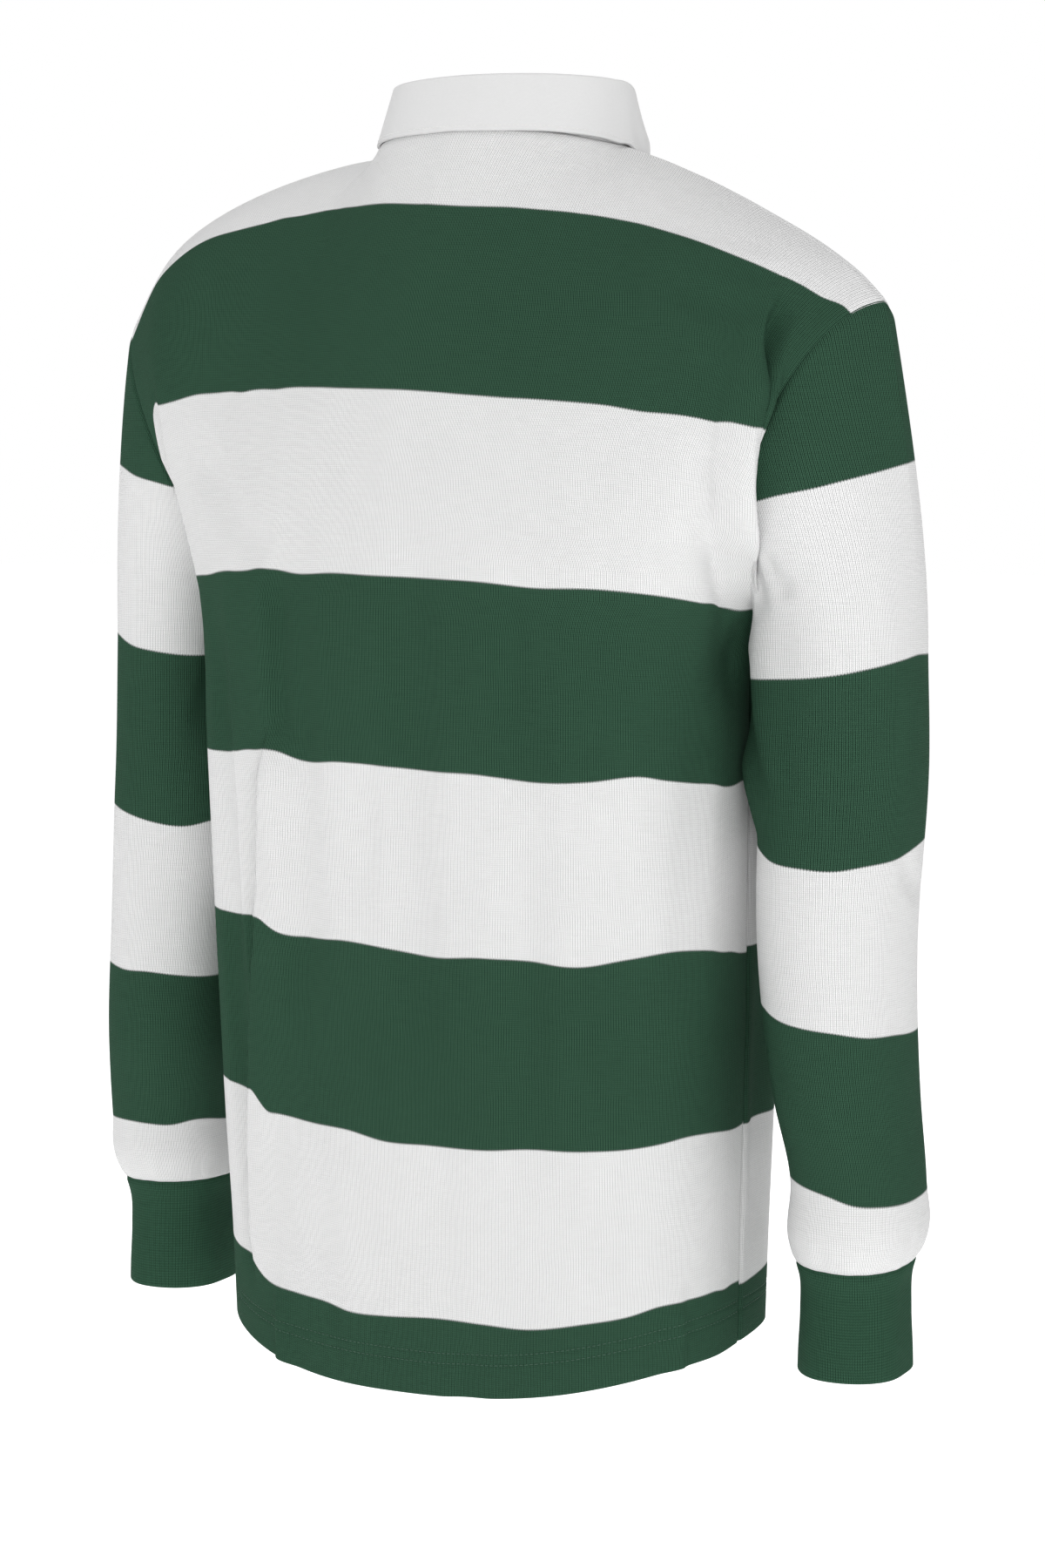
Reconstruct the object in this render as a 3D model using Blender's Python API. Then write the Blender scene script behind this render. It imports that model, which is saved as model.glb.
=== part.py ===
"""Rugby shirt, filled out as if worn: jersey body and sleeves, rib cuffs, twill collar and placket.

Metres, +Z up. The front faces -Y and the wearer's left is +X. The origin lies on the neck's axis, level
with the neck seam at the centre back. Every cloth piece is a thin wall: a grid of outer points taken from
the cut's own sizes, and the same grid moved in along the cloth's normals. Pieces that are sewn together
share those normals at the seam, so their walls meet square, a seam gap apart.
"""

from math import pi, radians

import bmesh
import bpy
import numpy as np
from mathutils import Matrix, Vector

# ---------------------------------------------------------------- driving dimensions
JERSEY = 0.0016              # wall of the body and the sleeves
RIB = 0.0024                 # wall of the doubled rib cuffs
TWILL = 0.0018               # wall of the collar's stand and fall, and of the placket strips
SEAM_GAP = 0.00034           # clear space between two pieces sewn together
LAID_GAP = 0.0004            # clear space under a piece that lies on another

UNDERARM_Z = -0.270          # height of the underarm seams
SIDE_Y = 0.006               # the side seams lie this far behind the middle
NECK_U = 0.36                # share of a panel's half width that the neck edge takes at the top row

RIGHT, LEFT = -1, 1          # the wearer's sides, as signs of x
BACK, FRONT = 1, -1          # the panels, as signs of y

# Body rings from the hem to the underarm: height, half width, depth behind, depth in front, squareness, how
# far the sides rise above the middle, and how far the left side drops under the right.
RINGS = (
    (-0.7255, 0.1635, 0.119, 0.117, 2.45, 0.0240, 0.0070),
    (-0.6600, 0.1645, 0.121, 0.119, 2.50, 0.0170, 0.0045),
    (-0.5700, 0.1665, 0.124, 0.121, 2.60, 0.0110, 0.0020),
    (-0.4700, 0.1680, 0.127, 0.122, 2.75, 0.0080, 0.0000),
    (-0.3700, 0.1690, 0.130, 0.121, 2.90, 0.0040, -0.0010),
    (-0.2900, 0.1705, 0.133, 0.117, 3.00, 0.0000, -0.0040),
    (-0.2700, 0.1738, 0.133, 0.116, 3.00, -0.0020, -0.0050),
)

# Neck edge: half width, depths from its axis, and heights at the back, the side and the front.
NECK_HALF, NECK_BEHIND, NECK_AHEAD, NECK_Y = 0.0780, 0.0660, 0.0680, -0.0140
NECK_Z_BACK, NECK_Z_SIDE, NECK_Z_FRONT = 0.0030, -0.0080, -0.0750
NECK_SQUARE = 2.3

# Shoulder seam from the neck edge to the armhole: x, y, z, and how much the left side sits over the right.
SHOULDER = (
    (0.0780, -0.0140, -0.0080, 0.0010),
    (0.1100, -0.0090, -0.0160, 0.0045),
    (0.1450, -0.0040, -0.0290, 0.0075),
    (0.1800, 0.0000, -0.0465, 0.0090),
    (0.2070, 0.0030, -0.0635, 0.0080),
    (0.2330, 0.0060, -0.0820, 0.0055),
    (0.2505, 0.0080, -0.1030, 0.0015),
)

# The same row with the corner at the neck eased, which shapes the cloth below it:
# share of the half width, x, y of the back and the front panel, z of the back and the front panel.
EASED_ROW = (
    (0.00, 0.0000, 0.052, -0.082, 0.0030, -0.075),
    (0.18, 0.0420, 0.040, -0.062, 0.0010, -0.050),
    (0.36, 0.0860, 0.010, -0.025, -0.0070, -0.022),
    (0.50, 0.1180, -0.004, -0.010, -0.0165, -0.020),
    (0.68, 0.1660, -0.002, -0.003, -0.0385, -0.039),
    (0.84, 0.2130, 0.003, 0.003, -0.0665, -0.066),
    (1.00, 0.2505, 0.008, 0.008, -0.1030, -0.103),
)

# Columns of cloth from the underarm row up and over the shoulder: share of the half width, then the column's
# pull (x, y, z) as it leaves the underarm row, and its pull as it reaches the top row.
COLUMNS_BACK = (
    (0.00, 0.00, 0.000, 0.26, 0.00, -0.16, 0.20),
    (0.20, 0.00, 0.000, 0.26, 0.00, -0.18, 0.18),
    (0.40, 0.00, 0.010, 0.26, 0.00, -0.25, 0.10),
    (0.60, 0.01, 0.050, 0.26, 0.00, -0.30, 0.03),
    (0.80, 0.01, 0.190, 0.24, 0.01, -0.30, 0.00),
    (0.90, 0.01, 0.250, 0.19, 0.04, -0.27, 0.01),
    (1.00, 0.00, 0.290, 0.13, 0.05, -0.23, 0.02),
)
COLUMNS_FRONT = (
    (0.00, 0.00, 0.000, 0.20, 0.00, 0.06, 0.16),
    (0.20, 0.00, 0.000, 0.22, 0.00, 0.10, 0.16),
    (0.40, 0.00, 0.000, 0.26, 0.00, 0.16, 0.12),
    (0.60, 0.00, -0.030, 0.25, 0.00, 0.24, 0.03),
    (0.80, 0.05, -0.160, 0.24, 0.00, 0.23, 0.00),
    (0.90, 0.05, -0.230, 0.19, 0.02, 0.22, 0.01),
    (1.00, 0.04, -0.280, 0.13, 0.03, 0.22, 0.02),
)

# Folds of a panel: panel, place across (share of the half width, right negative), half width of the fold
# as such a share, its height (hollows negative), how far it leans over the sleeve, and its low and high end.
PANEL_FOLDS = (
    (BACK, -0.925, 0.070, 0.007, 0.012, -0.232, -0.090),
    (BACK, 0.925, 0.070, 0.004, 0.007, -0.232, -0.090),
    (BACK, 0.530, 0.060, -0.006, 0.000, -0.700, -0.240),
    (BACK, 0.630, 0.070, 0.002, 0.000, -0.700, -0.240),
    (BACK, 0.250, 0.080, -0.004, 0.000, -0.560, -0.200),
    (BACK, -0.070, 0.090, -0.004, 0.000, -0.560, -0.200),
    (BACK, -0.360, 0.090, -0.004, 0.000, -0.640, -0.240),
    (FRONT, -0.890, 0.080, 0.004, 0.000, -0.200, -0.100),
    (FRONT, 0.890, 0.080, 0.004, 0.000, -0.200, -0.100),
    (FRONT, -0.520, 0.080, -0.005, 0.000, -0.660, -0.260),
    (FRONT, 0.480, 0.080, -0.005, 0.000, -0.600, -0.240),
    (FRONT, 0.200, 0.090, -0.004, 0.000, -0.680, -0.330),
)

# Sleeve rings from under the armhole to the cuff seam, wearer's left: height, centre x and y, half width
# across and fore-and-aft. The last two rings make the sleeve's fullness over the cuff.
SLEEVE_RINGS = (
    (-0.6405, 0.2345, 0.001, 0.0340, 0.0390),
    (-0.6300, 0.2355, 0.001, 0.0375, 0.0440),
    (-0.6000, 0.2370, 0.004, 0.0365, 0.0430),
    (-0.5500, 0.2315, 0.009, 0.0393, 0.0467),
    (-0.4700, 0.2246, 0.008, 0.0425, 0.0505),
    (-0.3600, 0.2236, -0.002, 0.0448, 0.0545),
    (-0.3000, 0.2236, -0.002, 0.0438, 0.0525),
)
CUFF_RINGS = (
    (-0.7095, 0.2345, 0.001, 0.0305, 0.0360),
    (-0.6900, 0.2345, 0.001, 0.0305, 0.0360),
    (-0.6560, 0.2345, 0.001, 0.0308, 0.0362),
    (-0.6405, 0.2345, 0.001, 0.0340, 0.0390),
)
SLEEVE_SQUARE = 2.2
CAP_SPREAD = 0.035           # how far the sleeve's head swells out under the shoulder tip
CAP_UNDER = 0.016            # and how far it swells away from the body at the underarm
CAP_INWARD = 0.04            # how far its back and front turn in towards the sleeve's middle

# Collar from the centre back to the front ends: angle, height of its fold and how far that lies inside the
# collar's oval, height of the fall's edge and how far that stands out of the oval.
COLLAR = (
    (0, 0.0298, 0.0000, -0.0040, 0.0080),
    (60, 0.0290, 0.0000, -0.0060, 0.0075),
    (80, 0.0288, -0.0005, -0.0095, 0.0075),
    (95, 0.0281, 0.0002, -0.0150, 0.0080),
    (110, 0.0206, 0.0030, -0.0290, 0.0110),
    (125, 0.0010, 0.0050, -0.0470, 0.0140),
    (150, -0.0370, 0.0060, -0.0830, 0.0200),
    (176, -0.0600, 0.0050, -0.1240, 0.0260),
)
COLLAR_HALF, COLLAR_DEPTH = 0.0700, 0.0635
FOLD_FORWARD = 0.007         # how far the collar leans forward at its fold
COLLAR_SWEEP = 0.13          # share of the turn by which the collar's points swing back from the front
SWEEP_FROM = 100             # the angle at which that sweep starts
COLLAR_CLEAR = 0.0040        # clear space between the body's cloth and the fall over it, placket included
COLLAR_REACH = 0.014         # how near the cloth must be to hold the fall out
FALL_OUT, FALL_IN = (8, 7, 6), (9, 10, 11)      # a section's points outside and inside the fall, edge first

SLOT_U, STRIP_U = 0.045, 0.070        # half widths of the front opening and of the placket's strips
SLOT_LOW, STRIP_LOW = 3, 2            # rows over the underarm row where each of them ends
STRIP_SHORT = 0.15                    # how far the strips stop short of the neck edge, as a share of a row
BUTTON_RADIUS, BUTTON_HEIGHT = 0.0075, 0.0030
BUTTON_ROWS = (("button_top", 10), ("button_middle", 7), ("button_low", 4))

PANEL_COLUMNS = np.concatenate([
    (-1.0, -0.975, -0.95, -0.925, -0.9, -0.87, -0.82, -0.76),
    (-0.68, -0.57, -0.46, -NECK_U, -0.27, -0.17, -STRIP_U, -SLOT_U),
    (SLOT_U, STRIP_U, 0.17, 0.27, NECK_U, 0.46, 0.57, 0.68),
    (0.76, 0.82, 0.87, 0.9, 0.925, 0.95, 0.975, 1.0),
])
LOW_ROWS = 16                # rows of faces from the hem to the underarm
TOP_ROWS = 12                # rows of faces from the underarm to the shoulder, and half a sleeve's sides
CAP_ROWS, ARM_ROWS, CUFF_ROWS = 8, 16, 4
COLLAR_STATIONS = 45
CORNER_POWER = 8             # how late the cloth takes on the top row's corners, as a power of the height
RISE_POWER = 2.4             # how late a ring's rise sets in towards the sides
SEAM_FADE = 0.03             # share of the half width over which a fold dies out at a seam
END_FADE = 0.25              # share of a fold's length over which each of its ends dies out


# ---------------------------------------------------------------- curves
def through(knots, values, at):
    """A smooth curve through a table's rows, read at each value of at."""
    knots = np.asarray(knots, float)
    values = np.asarray(values, float)
    slopes = np.gradient(values, knots, axis=0)
    at = np.clip(np.asarray(at, float), knots[0], knots[-1])
    low = np.clip(np.searchsorted(knots, at, side="right") - 1, 0, len(knots) - 2)
    span = knots[low + 1] - knots[low]
    t = (at - knots[low]) / span
    if values.ndim > 1:
        t, span = t[..., None], span[..., None]
    return hermite(values[low], values[low + 1], slopes[low] * span, slopes[low + 1] * span, t)


def hermite(start, end, leave, arrive, t):
    """The cubic from start to end that leaves and arrives with the given pulls."""
    return (start * (2 * t**3 - 3 * t**2 + 1) + end * (3 * t**2 - 2 * t**3)
            + leave * (t**3 - 2 * t**2 + t) + arrive * (t**3 - t**2))


def soft(t):
    """0 to 1 with eased ends."""
    t = np.clip(t, 0.0, 1.0)
    return t * t * (3 - 2 * t)


def oval(turn, half_x, half_y, square):
    """x and y of a rounded rectangle at an angle from its +y side; square 2 is an ellipse."""
    c, s = np.cos(turn), np.sin(turn)
    reach = (np.abs(s / half_x) ** square + np.abs(c / half_y) ** square) ** (-1 / square)
    return reach * s, reach * c


# ---------------------------------------------------------------- body panels
def half_ring(height, u, side):
    """One panel's share of a body ring, its points evenly spaced along the cloth from right to left."""
    table = np.array(RINGS)
    half, behind, ahead, square, rise, tilt = through(table[:, 0], table[:, 1:], np.array([height]))[0]
    depth = behind - SIDE_Y if side == BACK else ahead + SIDE_Y
    x, y = oval(np.linspace(-pi / 2, pi / 2, 361), half, depth, square)
    length = np.concatenate([[0], np.cumsum(np.hypot(np.diff(x), np.diff(y)))])
    at = (np.asarray(u) + 1) / 2 * length[-1]
    x, y = np.interp(at, length, x), np.interp(at, length, y)
    across = x / half
    z = height + rise * np.abs(across) ** RISE_POWER - tilt * across * np.abs(across)
    return np.stack([x, SIDE_Y + side * y, z], -1)


def neck_edge(turn):
    """Points of the neck edge at angles from the centre back, positive towards the wearer's left."""
    behind = np.cos(turn) >= 0
    x, y = oval(turn, NECK_HALF, np.where(behind, NECK_BEHIND, NECK_AHEAD), NECK_SQUARE)
    middle = np.where(behind, NECK_Z_BACK, NECK_Z_FRONT)
    z = middle + (NECK_Z_SIDE - middle) * np.sin(turn) ** 2 + SHOULDER[0][3] * np.sin(turn)
    return np.stack([x, NECK_Y + y, z], -1)


def neck_line(turn):
    """The neck edge as the panels' columns meet it: straight between one column and the next."""
    columns = PANEL_COLUMNS[np.abs(PANEL_COLUMNS) <= NECK_U] / NECK_U * pi / 2
    if abs(turn) > pi / 2:
        columns = np.sign(turn) * (pi - np.abs(columns[columns * turn > 0]))
    columns = np.sort(columns)
    met = neck_edge(columns)
    return np.array([np.interp(turn, columns, met[:, axis]) for axis in range(3)])


def top_row(u, side):
    """A panel's top edge: half the neck edge, and a shoulder seam on each side of it."""
    share = np.clip(np.abs(u) / NECK_U, 0, 1) * pi / 2
    turn = np.sign(u) * (share if side == BACK else pi - share)
    neck = neck_edge(turn if side == BACK else np.where(u == 0, pi, turn))
    seam = np.array(SHOULDER)
    length = np.concatenate([[0], np.cumsum(np.linalg.norm(np.diff(seam[:, :3], axis=0), axis=1))])
    x, y, z, lean = through(length / length[-1], seam, np.clip((np.abs(u) - NECK_U) / (1 - NECK_U), 0, 1)).T
    shoulder = np.stack([x * np.sign(u), y, z + lean * np.sign(u)], -1)
    return np.where((np.abs(u) < NECK_U)[:, None], neck, shoulder)


def eased_row(u, side):
    """The top row without its corners, which the cloth below it follows."""
    table = np.array(EASED_ROW)
    x, y_back, y_front, z_back, z_front = through(table[:, 0], table[:, 1:], np.abs(u)).T
    seam = np.array(SHOULDER)
    lean = through(seam[:, 0], seam[:, 3], x) * soft(np.abs(u) / 0.4) * np.sign(u)
    y, z = (y_back, z_back) if side == BACK else (y_front, z_front)
    return np.stack([x * np.sign(u), y, z + lean], -1)


def over_underarm(u, t, side):
    """Rows of points over the underarm: t is 0 at the underarm row and 1 at the panel's top edge."""
    u = np.asarray(u, float)
    t = np.asarray(t, float)[:, None, None]
    table = np.array(COLUMNS_BACK if side == BACK else COLUMNS_FRONT)
    pulls = through(table[:, 0], table[:, 1:], np.abs(u))
    mirror = np.stack([np.sign(u), np.ones_like(u), np.ones_like(u)], -1)
    eased = eased_row(u, side)
    cloth = hermite(half_ring(UNDERARM_Z, u, side), eased, pulls[:, :3] * mirror, pulls[:, 3:] * mirror, t)
    return cloth + (top_row(u, side) - eased) * t**CORNER_POWER


def panel_grid(side):
    """Outer points of the back or the front: rows from the hem up, columns from the wearer's right."""
    u = PANEL_COLUMNS
    heights = np.linspace(RINGS[0][0], UNDERARM_Z, LOW_ROWS + 1)[:-1]
    t = np.linspace(0, 1, TOP_ROWS + 1)
    grid = np.concatenate([[half_ring(h, u, side) for h in heights], over_underarm(u, t, side)])
    return folded(grid, u, np.concatenate([heights, UNDERARM_Z * (1 - t)]), side)


def folded(grid, u, heights, side):
    """The panel's points with its folds raised and pressed in along the cloth's normals, off its seams."""
    push = np.zeros_like(grid)
    out = normals(grid, side == BACK) * (1, 1, 0.3)
    for panel, place, half, tall, lean, low, high in PANEL_FOLDS:
        if panel != side:
            continue
        across = np.clip(1 - ((u - place) / half) ** 2, 0, 1) ** 1.5
        fade = END_FADE * (high - low)
        along = soft((heights - low) / fade) * soft((high - heights) / fade)
        share = (across[None, :] * along[:, None])[..., None]
        push += share * (out * tall + np.array([np.sign(place) * lean, 0, 0]))
    return grid + push * soft((1 - np.abs(u)) / SEAM_FADE)[None, :, None]


# ---------------------------------------------------------------- sleeves and cuffs
def armhole(sign):
    """The armhole's edge from the shoulder tip down the back, past the underarm and up the front."""
    u = np.array([float(sign)])
    t = np.linspace(1, 0, TOP_ROWS + 1)
    back = over_underarm(u, t, BACK)[:, 0]
    front = over_underarm(u, t[::-1], FRONT)[:, 0]
    return np.concatenate([back, front[1:-1]])


def sleeve_ring(table, height, sign):
    """A ring of a sleeve or a cuff, its points in the order of the armhole's."""
    table = np.array(table)
    x, y, half_x, half_y = through(table[:, 0], table[:, 1:], np.array([height]))[0]
    turn = pi / 2 - np.arange(2 * TOP_ROWS) / TOP_ROWS * pi
    out, behind = oval(turn, half_x, half_y, SLEEVE_SQUARE)
    return np.stack([sign * (x + out), y + behind, np.full_like(turn, height)], -1)


def sleeve_grid(sign):
    """Outer points of a sleeve: its head from the armhole to the first ring, then the arm to the cuff."""
    start = armhole(sign)
    first = SLEEVE_RINGS[-1][0]
    ring = sleeve_ring(SLEEVE_RINGS, first, sign)
    outside = (1 + np.cos(np.arange(2 * TOP_ROWS) / TOP_ROWS * pi)) / 2
    drop = start[:, 2] - first
    inward = -CAP_INWARD * start[:, 1] / np.abs(start[:, 1]).max() * (1 - outside)
    spread = CAP_SPREAD * outside + CAP_UNDER * (1 - outside) ** 2
    leave = np.stack([sign * spread, inward, -0.95 * drop - 0.01], -1)
    arrive = np.stack([0 * drop, 0 * drop, -drop - 0.01], -1)
    t = np.linspace(0, 1, CAP_ROWS + 1)[:-1, None, None]
    head = hermite(start, ring, leave, arrive, t)
    arm = [sleeve_ring(SLEEVE_RINGS, h, sign) for h in arm_heights()]
    return np.concatenate([head, arm])


def arm_heights():
    """Heights of the arm's rows, closer together in the fullness over the cuff."""
    low, bend, high = SLEEVE_RINGS[0][0], SLEEVE_RINGS[2][0], SLEEVE_RINGS[-1][0]
    return np.concatenate([np.linspace(high, bend, ARM_ROWS - 3)[:-1], np.linspace(bend, low, 5)])


def cuff_grid(sign):
    heights = np.linspace(CUFF_RINGS[-1][0], CUFF_RINGS[0][0], CUFF_ROWS + 1)
    return np.array([sleeve_ring(CUFF_RINGS, h, sign) for h in heights])


# ---------------------------------------------------------------- normals and seams
def unit(vector):
    return vector / np.linalg.norm(vector, axis=-1, keepdims=True)


def normals(grid, flip, tube=False):
    """The cloth's outward normal at each point of a grid; flip turns them over."""
    along = np.roll(grid, -1, 1) - np.roll(grid, 1, 1) if tube else np.gradient(grid, axis=1)
    found = unit(np.cross(along, np.gradient(grid, axis=0)))
    return -found if flip else found


def key_of(point):
    """A name for a place, the same for every piece that has a point there."""
    return tuple(np.round(point, 6) + 0.0)


def seam_normals(pieces):
    """Normals for every piece, averaged where two pieces have the same point, so that walls meet square."""
    found = {name: normals(grid, flip, tube) for name, (grid, flip, tube) in pieces.items()}
    total = {}
    for group in (("back", "front"), ("sleeve_right", "sleeve_left"), ("cuff_right", "cuff_left")):
        of_group = {}
        for name in group:
            for point, normal in zip(pieces[name][0].reshape(-1, 3), found[name].reshape(-1, 3)):
                of_group[key_of(point)] = of_group.get(key_of(point), 0) + normal
        for key, normal in of_group.items():
            total[key] = total.get(key, 0) + unit(normal)
    shared = {}
    for name, (grid, _, _) in pieces.items():
        averaged = np.array([total[key_of(point)] for point in grid.reshape(-1, 3)])
        shared[name] = unit(averaged).reshape(grid.shape)
    return shared


def opened_seams(pieces, sewn):
    """Every piece's points with its sewn edges moved off its neighbours', half a seam gap each."""
    into = {}
    for name, edges in sewn.items():
        grid = pieces[name][0]
        at = np.arange(grid.shape[0] * grid.shape[1]).reshape(grid.shape[:2])
        picks = {"first_row": (at[0], at[1]), "last_row": (at[-1], at[-2]),
                 "first_column": (at[:, 0], at[:, 1]), "last_column": (at[:, -1], at[:, -2])}
        pairs = [pair for edge in edges for pair in zip(*picks[edge])]
        if name in ("back", "front"):
            pairs += [(at[LOW_ROWS, side], at[LOW_ROWS - 1, side]) for side in (0, -1)]
        flat = grid.reshape(-1, 3)
        for edge, beside in pairs:
            here = into.setdefault(key_of(flat[edge]), {})
            here[name, edge] = here.get((name, edge), 0) + unit(flat[beside] - flat[edge])
    opened = {name: piece[0].copy() for name, piece in pieces.items()}
    for here in into.values():
        for (name, edge), step in here.items():
            for (other, _), other_step in here.items():
                if other != name:
                    opened[name].reshape(-1, 3)[edge] += unit(unit(step) - unit(other_step)) * SEAM_GAP / 2
    return opened


# ---------------------------------------------------------------- meshes
def material(name, colour, roughness):
    made = bpy.data.materials.new(name)
    made.use_nodes = True
    shader = made.node_tree.nodes["Principled BSDF"]
    shader.inputs["Base Color"].default_value = (*colour, 1.0)
    shader.inputs["Roughness"].default_value = roughness
    shader.inputs["Metallic"].default_value = 0.0
    return made


def add_object(name, bm, finish):
    """Turns a bmesh into the shirt's next object."""
    bmesh.ops.recalc_face_normals(bm, faces=bm.faces)
    mesh = bpy.data.meshes.new(name)
    bm.to_mesh(mesh)
    bm.free()
    mesh.shade_smooth()
    mesh.set_sharp_from_angle(angle=radians(50))
    mesh.materials.append(finish)
    made = bpy.data.objects.new(name, mesh)
    bpy.data.collections["rugby_shirt"].objects.link(made)
    return made


def sheet_mesh(outer, tube, skip=None):
    """A bmesh grid on the outer points, with each vertex's row and column kept; skip leaves faces out."""
    rows, columns = outer.shape[0] - 1, outer.shape[1] - (0 if tube else 1)
    bm = bmesh.new()
    row_of, column_of = bm.verts.layers.int.new("row"), bm.verts.layers.int.new("column")
    bmesh.ops.create_grid(bm, x_segments=columns, y_segments=rows, size=1.0)
    for vert in bm.verts:
        vert[row_of] = round((vert.co.y + 1) / 2 * rows)
        vert[column_of] = round((vert.co.x + 1) / 2 * columns) % outer.shape[1]
        vert.co = outer[vert[row_of], vert[column_of]]
    if skip:
        gone = [f for f in bm.faces if skip({v[row_of] for v in f.verts}, {v[column_of] for v in f.verts})]
        bmesh.ops.delete(bm, geom=gone, context="FACES")
    if tube:
        bmesh.ops.remove_doubles(bm, verts=bm.verts, dist=1e-6)
    return bm, row_of, column_of


def wall(name, outer, inner, finish, tube=False, skip=None):
    """A closed wall of cloth between two grids of points."""
    bm, row_of, column_of = sheet_mesh(outer, tube, skip)
    made = bmesh.ops.extrude_face_region(bm, geom=bm.faces[:] + bm.edges[:], use_keep_orig=True)
    for vert in made["geom"]:
        if isinstance(vert, bmesh.types.BMVert):
            vert.co = inner[vert[row_of], vert[column_of]]
    return add_object(name, bm, finish)


# ---------------------------------------------------------------- collar
def collar_section(turn):
    """The collar's cut at one angle, a closed outline: up the stand, over the fold and down the fall."""
    degrees = abs(turn) * 180 / pi
    table = np.array(COLLAR)
    fold_z, fold_in, edge_z, out = through(table[:, 0], table[:, 1:], np.array([degrees]))[0]
    radial = np.array([np.sin(turn), np.cos(turn), 0.0])
    x, y = oval(turn, COLLAR_HALF, COLLAR_DEPTH, NECK_SQUARE)
    fold = np.array([x, NECK_Y - FOLD_FORWARD + y, fold_z]) - radial * fold_in
    foot = neck_line(turn) - radial * JERSEY / 2
    foot[2] += 3 * SEAM_GAP
    swung = turn * (1 - COLLAR_SWEEP * soft((degrees - SWEEP_FROM) / (COLLAR[-1][0] - SWEEP_FROM)))
    x, y = oval(swung, COLLAR_HALF, COLLAR_DEPTH, NECK_SQUARE)
    edge = np.array([x + out * np.sin(swung), NECK_Y + y + out * np.cos(swung), edge_z])
    half = radial * TWILL / 2
    bend = np.array([0, 0, TWILL])
    hang = radial * (TWILL * 1.5 + 2 * LAID_GAP)
    stand_in = [foot - half, (foot + fold) / 2 - half, fold - bend * 2 - half]
    crown = [fold - half * 0.6, fold + hang * 0.7]
    fall_out = [fold + hang - bend * 1.5]
    fall_out += [fall_out[0] + (edge + half - fall_out[0]) * k for k in (0.33, 0.66, 1.0)]
    fall_in = [point - 2 * half for point in fall_out[::-1]]
    stand_out = [fold - bend * 2 + half, (foot + fold) / 2 + half, foot + half]
    fall_in[-1] = fold - bend * 2.5 + half + radial * 2 * LAID_GAP
    return np.array(stand_in + crown + fall_out + fall_in + stand_out)


def laid_over(points, cloth, cloth_normals, clear):
    """The fall's points, from its edge up, held out by the cloth near under them."""
    flat, out = cloth.reshape(-1, 3), cloth_normals.reshape(-1, 3)
    moved = points.copy()
    for _ in range(3):
        for i, point in enumerate(moved):
            gap = ((flat - point) ** 2).sum(1)
            near = np.argmin(gap)
            over = (point - flat[near]) @ out[near]
            if over < clear and gap[near] < COLLAR_REACH**2:
                moved[i] = point + out[near] * (clear - over)
    return moved


def finer(side):
    """The panel's upper half at a finer spacing, for laying the collar on."""
    u = np.linspace(-0.6, 0.6, 97)
    t = np.linspace(0.3, 1, 60)
    return over_underarm(u, t, side)


def make_collar(finish):
    """Stand and fall as one folded band, open at the front, its fall lying over the panels."""
    end = radians(COLLAR[-1][0])
    grid = np.array([collar_section(turn) for turn in np.linspace(-end, end, COLLAR_STATIONS)])
    cloth = [finer(BACK), finer(FRONT)]
    out = [normals(cloth[0], True), normals(cloth[1], False)]
    under = np.concatenate([c.reshape(-1, 3) for c in cloth])
    under_out = np.concatenate([n.reshape(-1, 3) for n in out])
    for station in grid:
        lifted = laid_over(station[list(FALL_IN)], under, under_out, COLLAR_CLEAR)
        station[list(FALL_OUT)] += lifted - station[list(FALL_IN)]
        station[list(FALL_IN)] = lifted
    bm, _, _ = sheet_mesh(grid, True)
    bmesh.ops.holes_fill(bm, edges=[e for e in bm.edges if e.is_boundary], sides=0)
    bmesh.ops.triangulate(bm, faces=[f for f in bm.faces if len(f.verts) > 4])
    return add_object("collar", bm, finish)


# ---------------------------------------------------------------- placket and buttons
def make_placket(grid, out, finish):
    """The strips on each side of the opening: the outer one over the front, the under one behind it."""
    columns = np.abs(PANEL_COLUMNS) <= STRIP_U + 1e-9
    rows = np.s_[LOW_ROWS + STRIP_LOW:]
    face, up = grid[rows][:, columns], out[rows][:, columns]
    face[-1] += (face[-2] - face[-1]) * STRIP_SHORT
    low = LAID_GAP
    wall("placket_outer", face + up * (low + TWILL), face + up * low, finish)
    low = JERSEY + LAID_GAP
    wall("placket_under", face - up * low, face - up * (low + TWILL), finish)


def make_button(name, row, grid, out, finish):
    """A round rubber button that lies on the outer strip."""
    at = LOW_ROWS + row
    middle = np.abs(PANEL_COLUMNS) <= SLOT_U + 1e-9
    centre, up = grid[at, middle].mean(0), Vector(out[at, middle].mean(0)).normalized()
    seat = Vector(centre) + up * (TWILL + 2.5 * LAID_GAP + BUTTON_HEIGHT / 2)
    bm = bmesh.new()
    bmesh.ops.create_cone(bm, cap_ends=True, segments=24, radius1=BUTTON_RADIUS, radius2=BUTTON_RADIUS,
                          depth=BUTTON_HEIGHT)
    rims = [e for e in bm.edges if all(len(f.verts) == 4 for f in e.link_faces) is False]
    bmesh.ops.bevel(bm, geom=rims, offset=0.0008, segments=2, profile=0.5, affect="EDGES", material=-1)
    turn = Vector((0, 0, 1)).rotation_difference(up).to_matrix().to_4x4()
    bmesh.ops.transform(bm, matrix=Matrix.Translation(seat) @ turn, verts=bm.verts)
    add_object(name, bm, finish)


# ---------------------------------------------------------------- assembly
def slot(rows, columns):
    """True for a face of the front panel that the opening takes away."""
    middle = len(PANEL_COLUMNS) // 2
    return min(rows) >= LOW_ROWS + SLOT_LOW and columns == {middle - 1, middle}


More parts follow.
